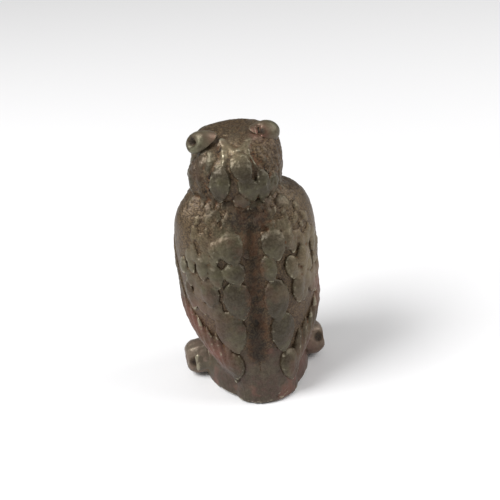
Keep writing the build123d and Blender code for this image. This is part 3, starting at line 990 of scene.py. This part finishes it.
# %% Stains and painted shade
# Each stain is a place (across, depth, height) and a radius, in mm.
BLUSH_SPOTS = (
    ((15.5, 5, 23), 7), ((12, 9, 15), 5), ((-17, 2, 28), 8), ((-13, 7, 9), 7), ((5, 0, 70), 2.0),
    ((-5.5, 0, 69), 2.6),
)
DUST_SPOTS = (((2, 3, 67.5), 4.0), ((12, 4, 48), 6), ((-14, 5, 46), 8), ((-12, 8, 38), 6))
PALE_SPOTS = (
    ((-14.5, 3, 44), 9), ((-13, 6, 34), 6), ((14, 4, 42), 6), ((11.5, 6, 30), 4), ((3, 2, 68), 5),
    ((17, -1, 7), 5), ((-17, -1, 7), 4), ((9, 1, 9), 4),
)
# Each path of painted shade has a reach in mm and a strength.
SHADED_PATHS = ((VALLEY, 2.3, 1.0), (VALLEY_FOOT, 2.6, 1.2), (MANTLE, 3.4, 0.9))


def stain(points, spots):
    """The strongest of several soft round stains."""
    total = np.zeros(len(points))
    for place, radius in spots:
        distance = np.linalg.norm(points / MM - np.array(place, float), axis=1)
        total = np.maximum(total, np.exp(-((distance / radius) ** 2)))
    return total


def painted_shade_on(points, dark):
    """The strongest painted shade, from the shaded paths and from a piece's own shaded places, each with a
    radius.
    """
    total = np.zeros(len(points))
    for path, reach, strength in SHADED_PATHS:
        total = np.maximum(total, strength * closeness(points, path, reach))
    for found, radius in dark:
        total = np.maximum(total, 1.2 * closeness(points, (found, found), radius, power=2.6))
    return total


def ground_between(made, low=0.05, high=0.55):
    """1 where a piece is bare skin and 0 on a feather, from its height in mm above the whole skin."""
    heights = []
    for point in points_of(made):
        place, normal, _, _ = found_on.tree.find_nearest(Vector(point))
        heights.append((Vector(point) - place).dot(normal) / MM)
    return 1 - smooth_step(np.array(heights), low, high)


# %% [markdown]
# ## From wax to casting
# `cast` finishes every piece in the same way, as one bath of patina does: weather it, shade it
# smooth, read its relief, store its stains and its painted shade, and give it to the frame. It lets
# the piece stand for the CAD nodes whose place it takes. No point is left below the floor.

# %% Finish a casting
def dress(made, finish):
    """Shades a piece smooth and gives it one material."""
    for polygon in made.data.polygons:
        polygon.use_smooth = True
    made.data.materials.clear()
    made.data.materials.append(finish)


def cast(
    made, nodes, finish=PATINA, lumps=0.16, lump_size=1.6, grain=0.06, seed=0.0, dark=(), feathered=False,
):
    """Weathers a piece, stores its masks, and lets it stand for CAD nodes."""
    use_tree(
        made, WEATHER, lump_height=lumps * MM, lump_size=lump_size * MM, grain_height=grain * MM,
        grain_size=0.55 * MM, seed=float(seed), finish=finish,
    )
    dress(made, finish)
    read_relief(made)
    points = points_of(made)
    points[:, 2] = np.maximum(points[:, 2], 0)
    move_points(made, points)
    store(made, "blush", stain(points, BLUSH_SPOTS))
    store(made, "dust", stain(points, DUST_SPOTS))
    store(made, "pale", stain(points, PALE_SPOTS))
    store(made, "ground", ground_between(made) if feathered else np.zeros(len(points)))
    # Painted shade down the valley, under the nape and in the piece's own shaded places, also added to the
    # hollow mask so that it darkens there too.
    hollow = np.empty(len(points), np.float32)
    made.data.attributes["hollow"].data.foreach_get("value", hollow)
    painted_shade = painted_shade_on(points, dark)
    store(made, "hollow", hollow + 0.5 * painted_shade)
    store(made, "painted_shade", painted_shade)
    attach(made, "root")
    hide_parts(*nodes)
    print(made.name, "has", len(made.data.polygons), "faces")
    return made


# %% [markdown]
# ## The wings
# Each wing is one casting. Large leaf-shaped feathers run down beside the valley and grow towards
# the tail. Outside them lie smaller coverts, the shoulder is a crowd of little scales, a smooth
# band runs down the outer edge, and long narrow quills sweep down to the wing's tip. The big
# feathers are placed one by one, because the left and right wings differ; the rest follow loops.

# %% Where the wing's large feathers lie
# Each feather as its root and tip (across, height) and its width, in mm.
BACK_FEATHERS = {
    LEFT: (
        ((6.2, 48.8), (5.0, 41.0), 6.6), ((6.2, 41.6), (4.7, 35.9), 5.6), ((6.2, 36.6), (4.6, 26.0), 7.2),
        ((8.9, 28.2), (6.4, 15.6), 7.8), ((8.6, 15.4), (6.8, 7.6), 5.4),
    ),
    RIGHT: (
        ((-4.0, 47.9), (-5.3, 40.4), 6.2), ((-2.3, 42.0), (-3.2, 35.2), 4.4),
        ((-3.8, 35.6), (-3.8, 24.0), 6.8), ((-5.2, 25.8), (-4.2, 14.2), 6.6),
        ((-6.1, 14.0), (-5.5, 5.4), 6.2),
    ),
}
OUTER_COVERTS = {
    LEFT: (
        ((10.0, 41.0), (9.4, 34.8), 3.7), ((12.4, 35.8), (11.4, 29.4), 4.0),
        ((9.6, 47.0), (9.0, 42.0), 3.0), ((12.8, 43.0), (12.4, 36.8), 3.0),
    ),
    RIGHT: (
        ((-8.4, 40.6), (-8.6, 34.2), 3.6), ((-10.2, 34.6), (-9.4, 27.0), 3.8),
        ((-8.2, 47.4), (-8.6, 42.0), 3.0), ((-11.8, 42.0), (-11.8, 35.6), 3.2),
    ),
}
# The smooth outer edge and the strands near the tip, as bearings and heights.
EDGE_BAND = ((88, 51), (84, 46), (80, 41), (76, 35.5), (70, 29), (63, 23))
STRAND = ((74, 29), (66, 23), (56, 16), (44, 9.5))
STRAND_OFFSETS = (0, 1.5, 3.0, 4.4)
WING_SEEDS = {LEFT: 7, RIGHT: 11}
CORE_INNER_EDGE = 4.0


# %% [markdown]
# ## Small scales and long quills
# The shoulder's scales lie in loose rows that wrap round it, and they must not look laid out, so their
# places, sizes and turns vary with a fixed seed. They lie flatter towards the wing's outer edge.
# The quills start round the outside of the wing and draw together at its tip.

# %% Scales, coverts and quills
def add_scales(wing, side, random):
    for row in range(6):
        height = 54.0 - 2.2 * row
        for step in range(9):
            bearing = 12 + 6.6 * step + (row % 2) * 3 + random.uniform(-3, 3)
            width = random.uniform(1.4, 2.5)
            wing.add(
                wing.seen_from(side * bearing, height + random.uniform(-0.9, 0.9)), width, width * 1.5,
                lift=random.uniform(0.3, 0.6) * (1.15 - bearing / 90), turn=random.uniform(-30, 30),
                rim=0.0, swell=0.4,
            )


def add_coverts(wing, side, random):
    """Rows of small coverts on the outer half, a little larger further down."""
    for row in range(5):
        height = 43.0 - 3.5 * row
        for step in range(4):
            bearing = 47 + 8.5 * step + (row % 2) * 4 - row
            size = 1.9 + 0.2 * row
            bearing, off = side * (bearing + random.uniform(-2, 2)), random.uniform(-0.8, 0.8)
            wing.add(
                wing.seen_from(bearing, height + off), size, size * 2.1, lift=random.uniform(0.35, 0.6),
                turn=side * 10 + random.uniform(-14, 14), rim=0.12, swell=0.4,
            )


def add_quills(wing, side):
    for count in range(8):
        start = wing.seen_from(side * (104 - 9 * count), 31 - 1.9 * count)
        end = wing.seen_from(side * (64 - 4.6 * count), 15.5 - 1.25 * count)
        wing.between(start, end, width=2.0, lift=0.5 + 0.06 * count, rim=0.1, swell=1.3, overlap=1.2)
    for count in range(4):
        start = wing.seen_from(side * (98 + 7 * count), 44 - 2 * count)
        end = wing.seen_from(side * (86 + 6 * count), 26 - 2 * count)
        wing.between(start, end, width=2.2, lift=0.3, rim=0.1, swell=0.4, overlap=1.1)


# %% [markdown]
# ## Making a wing
# The feathers are fused with a core, which is the wing's own casting sunk out of sight. The core stops
# short of the valley, where the body's skin shows instead. The raised edge and the deep strands are
# pressed last, because fusing would soften them away.

# %% Wings
def make_wing(side, node, name):
    random = np.random.default_rng(WING_SEEDS[side])
    wing = Plumage(whole_skin)
    add_scales(wing, side, random)
    add_coverts(wing, side, random)
    scales = wing.lay("scales", SCALE)
    add_quills(wing, side)
    quills = wing.lay("quills", QUILL)
    for root, tip, width in OUTER_COVERTS[side]:
        wing.between(wing.behind(*root), wing.behind(*tip), width, lift=0.75, rim=0.22, swell=0.9)
    for root, tip, width in BACK_FEATHERS[side]:
        wing.between(wing.behind(*root), wing.behind(*tip), width, lift=1.0, rim=0.32, swell=1.25)
    leaves = wing.lay("leaves", LEAF)

    band = [wing.seen_from(side * bearing, height) for bearing, height in EDGE_BAND]
    inner = {"low" if side == LEFT else "high": (side * CORE_INNER_EDGE, None, None)}
    skin = skin_of(node, sink=1.4)
    core = slice_of(skin, "core", **inner)
    bpy.data.objects.remove(skin)
    made = fuse(name, [core, scales, quills, leaves], grid=0.24, soften=8)
    press(made, band, width=1.5, depth=-0.3)
    for offset in STRAND_OFFSETS:
        strand = [
            wing.seen_from(side * (bearing - offset * 2.4), height - offset * 0.3)
            for bearing, height in STRAND
        ]
        press(made, strand, width=0.42, depth=0.5)
    return cast(made, [node], lumps=0.2, lump_size=1.3, grain=0.07, seed=side, feathered=True)


for side, word in SIDES:
    make_wing(side, f"{word}_wing", f"{word}_wing_casting")


# %% [markdown]
# ## The body
# The breast is covered in rows of small pointed feathers, staggered like tiles. Behind, the same
# casting fills the valley between the wings. Its own back never shows, apart from that strip.

# %% Body
breast = Plumage(whole_skin)
breast_random = np.random.default_rng(3)
for row in range(15):
    height = 52 - 2.55 * row
    for step in range(-5, 6):
        bearing = 180 + 10.5 * (step + 0.5 * (row % 2))
        width = breast_random.uniform(2.7, 3.3)
        place = breast.seen_from(bearing + breast_random.uniform(-1, 1), height)
        breast.add(
            place, width, width * 1.6, lift=0.75, turn=breast_random.uniform(-8, 8), rim=0.18, swell=0.3,
        )
breast_feathers = breast.lay("breast_feathers", SCALE)
trunk = slice_of(whole_skin, "trunk", low=(None, None, 9), high=(None, None, 54.5), out=-0.08)
body = fuse("body_casting", [trunk, breast_feathers], grid=0.3, soften=2)
cast(body, ["body_shell"], seed=4, feathered=True)


# %% [markdown]
# ## The tail
# The tail lies on the back of a small mound, and its feathers are only fine grooves that fan out
# towards its foot. It is a slice of the whole skin. Its top and sides dive under its neighbours, so
# that no step shows where it begins.

# %% Tail
# Each groove's top and foot (across, height), in mm.
TAIL_GROOVES = (
    ((7.4, 11.5), (7.0, 1.4)), ((6.2, 10), (5.9, 1.2)), ((5.1, 9), (5.0, 0.8)), ((1.9, 17), (1.9, 1.0)),
    ((-2.9, 9), (-3.0, 1.0)), ((3.6, 7), (3.5, 1.0)), ((0.2, 6), (0.1, 1.0)), ((-5.0, 6), (-5.1, 1.5)),
)
tail_part = slice_of(whole_skin, "tail", low=(-7.9, 8.5, None), high=(7.9, None, 19), out=0.1)
tail = fuse("tail_casting", [tail_part], grid=0.24, soften=3)
points = points_of(tail)
across, height = abs(points[:, 0]) / MM, points[:, 2] / MM
dive = 0.45 * smooth_step(height, 14.5, 18.5) + 0.3 * smooth_step(across, 6.4, 7.8)
move_points(tail, points - normals_of(tail) * dive[:, None] * MM)
tail_skin = Plumage(tail)
for top, foot in TAIL_GROOVES:
    press(tail, [tail_skin.behind(*top), tail_skin.behind(*foot)], width=0.45, depth=0.22)
crack = [tail_skin.behind(*place) for place in ((-1.6, 2.1), (-3.2, 2.0), (-5.0, 2.7))]
press(tail, crack, width=0.25, depth=0.4)
cast(tail, ["tail_fan"], SKIRT_PATINA, grain=0.05, seed=4)


# %% [markdown]
# ## The mound
# The mound fills the corner between branch and tail and carries the owl. It is the foot of the whole
# skin, so it already flows up into the tail and the body with a fillet. Its middle is lifted off
# the floor, which leaves a recess for the plate that closes it.

# %% Mound
PLATE_LOW, PLATE_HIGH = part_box("base_plate")
RECESS = 1.1 * MM
mound_part = slice_of(whole_skin, "mound", low=(-16.6, None, None), high=(16.6, None, 12))
mound = fuse("mound_casting", [mound_part], grid=0.35, soften=2)
points = points_of(mound)
middle = (np.array(PLATE_LOW) + np.array(PLATE_HIGH)) / 2
reach = (np.array(PLATE_HIGH) - np.array(PLATE_LOW)) / 2
inside = (((points - middle) / reach)[:, :2] ** 2).sum(1) < 1.0
points[:, 2] = np.where(inside & (points[:, 2] < RECESS), RECESS, points[:, 2])
dive = 0.4 * smooth_step(points[:, 2] / MM, 8.5, 11.5)
move_points(mound, points - normals_of(mound) * dive[:, None] * MM)
cast(mound, ["base_mound"], SKIRT_PATINA, grain=0.05, seed=4)


# %% [markdown]
# ## Where the head's feathers lie
# The back of the head is a fan of broad smooth lobes, framed by a V of two ridges that run down from
# the tufts. Its sides are rough and ribbed. The face has two discs of narrow feathers that radiate
# from the eyes, with a raised rim round them and a brow above.

# %% Lobes, ridges and the lean of the head
BACK_LOBES = (
    # Root and tip (across, height), width, lift.
    ((-7.0, 61.4), (-6.5, 54.4), 3.2, 0.6), ((-3.9, 63.6), (-3.9, 53.8), 3.6, 0.75),
    ((4.4, 65.0), (6.0, 55.8), 5.0, 0.9), ((2.1, 57.9), (0.4, 52.6), 4.2, 0.75),
    ((0.5, 62.6), (-1.5, 55.9), 4.6, 0.95), ((1.0, 67.0), (-0.6, 60.4), 5.0, 0.95),
)
CROWN_RIDGES = (
    (((2.9, -0.4), (1.1, 3.4)), ((0.6, 67.2),)), (((-4.3, 0.5), (-0.8, 3.2)), ((0.2, 67.2),)),
)
SIDE_RIDGES = (
    ((-2.0, 67.0), (-2.6, 65.4), (-3.3, 63.8), (-5.4, 61.6), (-5.8, 57.5)),
    ((3.2, 68.2), (3.7, 66.4), (4.3, 64.8), (7.0, 62.5), (7.9, 59.0)),
)
EYE_ACROSS, EYE_HEIGHT = 4.6, 63.6
DISC_REACH = (3.0, 6.2)
BROW = ((0.7, 62.6), (2.2, 66.2), (4.8, 67.4))
DISC_RIM = ((1.0, 58.2), (4.0, 57.2), (7.4, 58.6), (9.2, 62), (9.0, 65.4))
LEAN = 0.4


def lean_head(made):
    """The owl carries its head slightly to its left, more so towards the crown."""
    points = points_of(made)
    points[:, 0] += LEAN * MM * smooth_step(points[:, 2] / MM, 54, 66)
    return move_points(made, points)


# %% [markdown]
# ## The head's feathers
# Small rough feathers go over the sides and the crown, narrow ones radiate from each eye, and the broad
# lobes are laid last, over the rest. Disc feathers that point straight up are left out, because
# they would stand above the crown.

# %% Feathers of the head
head_skin = Plumage(whole_skin)
head_random = np.random.default_rng(5)

# Rough small feathers over the sides and the crown.
for row in range(8):
    height = 67 - 1.7 * row
    for side in (LEFT, RIGHT):
        for step in range(7):
            bearing = side * (50 + 13 * step + head_random.uniform(-4, 4))
            width = head_random.uniform(1.1, 1.8)
            head_skin.add(
                head_skin.seen_from(bearing, height + head_random.uniform(-0.6, 0.6)), width, width * 2.2,
                lift=head_random.uniform(0.1, 0.35), turn=head_random.uniform(-20, 20),
                rim=0.08, swell=0.25,
            )
for count in range(20):
    place = head_skin.above(head_random.uniform(-6, 6), head_random.uniform(-5.5, 1.0))
    head_skin.add(
        place, 2.4, 3.6, lift=0.14, turn=head_random.uniform(-15, 15), rim=0.05, swell=0.15,
        pointing=(0, 1, -0.2),
    )
small_feathers = head_skin.lay("small_head_feathers", SCALE)

# The face: narrow feathers radiating from each eye.
for side in (LEFT, RIGHT):
    for count in range(18):
        angle = math.radians(20 * count)
        if math.sin(angle) > 0.7:
            continue
        out = (math.cos(angle), math.sin(angle))
        root, tip = (
            head_skin.front(side * EYE_ACROSS + reach * out[0], EYE_HEIGHT + reach * out[1])
            for reach in DISC_REACH
        )
        head_skin.between(root, tip, width=1.5, lift=0.45, rim=0.08, swell=0.3)
disc_feathers = head_skin.lay("disc_feathers", QUILL)
for root, tip, width, lift in BACK_LOBES:
    head_skin.between(head_skin.behind(*root), head_skin.behind(*tip), width, lift, rim=0.4, swell=1.0)
lobes = head_skin.lay("lobes", LEAF)

# %% [markdown]
# ## The head as one casting
# The feathers are fused with the top slice of the whole skin. Then the V of ridges is raised, with a
# furrow pressed beside each arm, and the brows and the rims of the face discs follow. At last the
# whole head leans a little, as its tufts and eyes will.

# %% Head
skull = slice_of(whole_skin, "skull", low=(None, None, 52.2))
head = fuse("head_casting", [skull, small_feathers, disc_feathers, lobes], grid=0.22, soften=6)
for on_crown, on_back in CROWN_RIDGES:
    path = [head_skin.above(*p) for p in on_crown] + [head_skin.behind(*p) for p in on_back]
    press(head, path, width=0.8, depth=-0.45)
for ridge in SIDE_RIDGES:
    path = [head_skin.behind(*p) for p in ridge]
    press(head, path, width=0.85, depth=-0.6)
    outwards = math.copysign(1.0, ridge[0][0])
    beside = [head_skin.behind(x + outwards, z - 0.6) for x, z in ridge]
    press(head, beside, width=0.9, depth=0.5)
for side in (LEFT, RIGHT):
    brow = [head_skin.front(side * x, z) for x, z in BROW]
    press(head, brow, width=0.8, depth=-0.8)
    disc = [head_skin.front(side * x, z) for x, z in DISC_RIM]
    press(head, disc, width=0.6, depth=-0.6)
lean_head(head)
cast(head, ["head_shell"], lumps=0.25, lump_size=1.2, grain=0.07, seed=7, feathered=True)


# %% [markdown]
# ## The tufts
# The tufts are rubbed almost smooth, and they don't match: the left one has a hollow in its outer
# end, the right one a groove that leaves a small bead, and the left one's hollow and the right
# one's groove are darkened with painted shade. Both are the CAD tufts, softened, stretched a little
# towards the middle of the head and moved on to the sculpted crown.

# %% Tufts
TUFT_END, TUFT_STRETCH = 11.6, 1.22
TUFT_SHIFT = {LEFT: (0.0, -0.7, 0.55), RIGHT: (0.5, -0.7, 0.55)}


def sculpt_left(tuft, found):
    press_spot(tuft, found.seen_from(38, 68.9, (10.4, -1)), radius=1.35, depth=2.3)
    press_spot(tuft, found.above(7.4, -0.6), radius=1.5, depth=-0.55)
    press(tuft, [found.above(7.5, 0.3), found.above(7.7, -0.3)], width=0.18, depth=0.25)


def sculpt_right(tuft, found):
    groove = [found.above(-7.3, -3.0), found.above(-7.2, -0.5)]
    groove += [found.behind(-7.2, 68.6), found.behind(-7.1, 67.2)]
    press(tuft, groove, width=0.45, depth=0.9)
    press_spot(tuft, found.above(-9.3, -1.0), radius=0.9, depth=-0.15)


for side, word in SIDES:
    tuft = skin_of(f"{word}_ear_tuft", grid=0.2, soften=14)
    tuft.name = f"{word}_tuft"
    (sculpt_left if side == LEFT else sculpt_right)(tuft, Plumage(tuft))
    points = points_of(tuft)
    outer_end = side * TUFT_END * MM
    points[:, 0] = outer_end + (points[:, 0] - outer_end) * TUFT_STRETCH
    move_points(tuft, points + np.array(TUFT_SHIFT[side]) * MM)
    lean_head(tuft)
    found = Plumage(tuft)
    # The place of each tuft's painted shade: in the left one's hollow and by the right one's groove.
    if side == LEFT:
        dark_place, radius = found.seen_from(38, 69.2, (10.6, -1.7)), 1.25
    else:
        dark_place, radius = found.behind(-6.1, 69.6), 0.9
    cast(
        tuft, [f"{word}_ear_tuft"], TUFT_PATINA, lumps=0.08, grain=0.03, seed=8 + side,
        dark=[(dark_place, radius)],
    )


# %% [markdown]
# ## The beak
# The beak is a smooth hook with a slit pressed on each side for the nostrils. It leans with the head.

# %% Beak
beak = skin_of("beak", grid=0.18, soften=5)
beak.name = "beak_casting"
beak_skin = Plumage(beak)
for side in (LEFT, RIGHT):
    slit = [beak_skin.seen_from(180 - side * 60, z, (0, -13)) for z in (59.6, 58.4)]
    press(beak, slit, width=0.22, depth=0.35)
lean_head(beak)
cast(beak, ["beak"], TUFT_PATINA, lumps=0.05, grain=0.02, seed=10)


# %% [markdown]
# ## The eyes
# Each eye is a glass lens behind a bronze ring. Both keep the CAD shape, which has hollows that a hull
# would lose, so they are remeshed copies. The pupil is a mask on the glass's points: how far each is
# from the line the eye looks along.

# %% Glass eyes and their rims
def copy_of(node, name, grid, soften):
    """A finely remeshed copy of one CAD node, with its own hollows kept."""
    return fuse(name, [new_object("copy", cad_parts[node].data.copy())], grid, soften)


for side, word in SIDES:
    rim_piece = copy_of(f"{word}_eye_rim", f"{word}_eye_rim_casting", grid=0.16, soften=3)
    lean_head(rim_piece)
    cast(rim_piece, [f"{word}_eye_rim"], lumps=0.05, grain=0.02, seed=11 + side)

    eye = copy_of(f"{word}_eye", f"{word}_glass_eye", grid=0.16, soften=4)
    eye_low, eye_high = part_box(f"{word}_eye")
    centre = (np.array(eye_low) + np.array(eye_high)) / 2
    points = points_of(eye)
    store(eye, "from_pupil", np.hypot(points[:, 0] - centre[0], points[:, 2] - centre[2]) / MM)
    lean_head(eye)
    dress(eye, AMBER)
    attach(eye, "root")
    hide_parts(f"{word}_eye")
print("eyes look out from", EYE_HEIGHT, "mm above the floor")


# %% [markdown]
# ## Legs and feet
# The thighs are short feathered domes over the branch, and each foot has toes that curl over it.
# Cross creases on the toes stand for their scutes.

# %% Thighs and feet
# The branch's axis, which the toes curl round, in mm.
LOG_HEIGHT, LOG_BACK = 4.7, -2.8
SCUTES_ROUND = 22

for side, word in SIDES:
    thigh_random = np.random.default_rng(20 + side)
    thigh_skin = skin_of(f"{word}_thigh", sink=0.4)
    thigh = Plumage(thigh_skin)
    for row in range(5):
        for step in range(9):
            thigh.add(
                thigh.seen_from(110 + 17 * step + 8 * (row % 2), 18 - 2.4 * row, (side * 5.7, -9)),
                2.2, 3.6, lift=0.5, turn=thigh_random.uniform(-10, 10), rim=0.12, swell=0.25,
            )
    thigh_feathers = thigh.lay(f"{word}_thigh_feathers", SCALE)
    thigh_casting = fuse(f"{word}_thigh_casting", [thigh_skin, thigh_feathers], grid=0.24, soften=2)
    cast(thigh_casting, [f"{word}_thigh"], seed=13 + side)

    foot = copy_of(f"{word}_foot", f"{word}_foot_casting", grid=0.2, soften=5)
    points, normals = points_of(foot), normals_of(foot)
    around = np.arctan2(points[:, 2] - LOG_HEIGHT * MM, -points[:, 1] + LOG_BACK * MM)
    crease = np.cos(around * SCUTES_ROUND) ** 8 * 0.12 * MM
    move_points(foot, points - normals * crease[:, None])
    cast(foot, [f"{word}_foot"], lumps=0.06, grain=0.03, seed=15 + side)


# %% [markdown]
# ## The branch
# The branch is lofted from rings, because its bark is a simple wave round each ring. It runs a
# little aslant, it has one knot, and each worn end has round shoulders and a shallow hollow,
# darkened with painted shadow.

# %% Branch
LOG_SIZE = 4.6
MIDDLE_REACH = 14.0
# Each ring of an end: how far out in mm, and its size as a share of the branch's.
END_RINGS = (
    (12.6, 0.96), (13.2, 1.0), (14.2, 1.0), (15.0, 1.0), (15.9, 0.99), (16.7, 0.95), (17.4, 0.88),
    (18.0, 0.78), (18.45, 0.65), (18.65, 0.5), (18.5, 0.36), (18.1, 0.22), (17.9, 0.06),
)

DIMPLES = {LEFT: (16.7, 5.3), RIGHT: (-16.9, 6.4)}


def ring(x, size, count=72):
    """One ring of the branch, as points in metres, round its slanted axis."""
    points = []
    for step in range(count):
        angle = math.tau * step / count
        bark = 0.10 * math.sin(7 * angle + 0.5 * math.sin(0.4 * x)) + 0.07 * math.sin(13 * angle + 0.3 * x)
        knot = 0.25 * math.exp(-((x - 12) ** 2) / 6 - (angle - 1.1) ** 2 * 3)
        radius = (LOG_SIZE - 0.05 + bark + knot) * size
        y = LOG_BACK - 0.045 * x + radius * math.cos(angle)
        points.append((x * MM, y * MM, (LOG_HEIGHT + radius * math.sin(angle)) * MM))
    return points


def loft(name, rings):
    """A closed skin through rings of equal count, capped at both ends."""
    count = len(rings[0])
    points = [p for one in rings for p in one]
    faces = [tuple(reversed(range(count))), tuple(range(len(points) - count, len(points)))]
    for i in range(len(rings) - 1):
        for j in range(count):
            k = (j + 1) % count
            faces.append((i * count + j, i * count + k, (i + 1) * count + k, (i + 1) * count + j))
    return mesh_of(name, points, faces)


# The middle slims down inside the two ends, so that it never shows in their hollows.
middle_rings = [
    ring(x, 1.0 - 0.2 * smooth_step(abs(x), 12.9, 13.8))
    for x in np.linspace(-MIDDLE_REACH, MIDDLE_REACH, 57)
]
middle_part = fuse("branch_casting", [loft("rings", middle_rings)], grid=0.3, soften=2)
cast(middle_part, ["perch_log"], BRANCH_PATINA, grain=0.05, seed=17)
for side, word in SIDES:
    # The right end's rings run the other way, so that its faces point outwards too.
    rings = [ring(side * x, size) for x, size in END_RINGS]
    end = fuse(f"{word}_branch_end", [loft("end", rings[::side])], grid=0.26, soften=2)
    press_spot(end, Plumage(end).behind(*DIMPLES[side]), radius=2.2, depth=1.2)
    # The dimple's hollow is darkened with painted shadow.
    dimple = Plumage(end).behind(*DIMPLES[side])
    cast(end, [f"{word}_log_end"], BRANCH_PATINA, grain=0.05, seed=17, dark=[(dimple, 1.5)])


# %% [markdown]
# ## Underside and fixings
# The plate, its screws and the fixings inside keep the shapes of the CAD model, and only get a
# finish: dull brass for the plate and dirty steel for the rest. The blanks and the whole skin
# have done their work and are removed.

# %% Underside
FIXINGS = ("base_plate", "base_screws", "tie_rod", "rod_nut", "rod_washer", "wing_pins", "tail_pins")
for node in FIXINGS:
    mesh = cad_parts[node].data
    mesh.materials.clear()
    mesh.materials.append(RAW_BRASS if node == "base_plate" else STEEL)

for blank in (LEAF, SCALE, QUILL, whole_skin):
    bpy.data.objects.remove(blank)


# %% [markdown]
# ## Floor and light
# A plain pale floor, a large soft light high on the left, a weaker one on the right, and a bright
# even surround. Bronze shows its shape by its soft highlights, so the lights are large and the
# left one is more than twice as strong.

# %% Studio
FLOOR_SIZE = 3.0
AIM = (0, 0, 0.035)


def soft_light(name, place, aim, size, power):
    light = bpy.data.lights.new(name, "AREA")
    light.size, light.energy = size, power
    lamp = bpy.data.objects.new(name, light)
    bpy.context.scene.collection.objects.link(lamp)
    lamp.location = place
    lamp.rotation_euler = (Vector(aim) - Vector(place)).to_track_quat("-Z", "Y").to_euler()
    return lamp


corners = [(x * FLOOR_SIZE, y * FLOOR_SIZE, 0) for x, y in ((-1, -1), (1, -1), (1, 1), (-1, 1))]
floor = mesh_of("floor", corners, [(0, 1, 2, 3)])
pale, _, pale_shader, _ = new_material("pale_floor")
pale_shader.inputs["Base Color"].default_value = (0.84, 0.84, 0.85, 1)
pale_shader.inputs["Roughness"].default_value = 0.6
floor.data.materials.append(pale)

soft_light("window_left", place=(0.30, 0.04, 0.42), aim=AIM, size=0.26, power=2.8)
soft_light("fill_right", place=(-0.36, 0.06, 0.30), aim=AIM, size=0.30, power=1.2)
world = bpy.data.worlds.new("surround")
world.use_nodes = True
surround = world.node_tree.nodes["Background"]
surround.inputs["Color"].default_value = (1.0, 0.99, 0.97, 1)
surround.inputs["Strength"].default_value = 0.34
bpy.context.scene.world = world
bpy.context.scene.view_settings.view_transform = "Standard"
print("lights:", [light.name for light in bpy.data.lights])
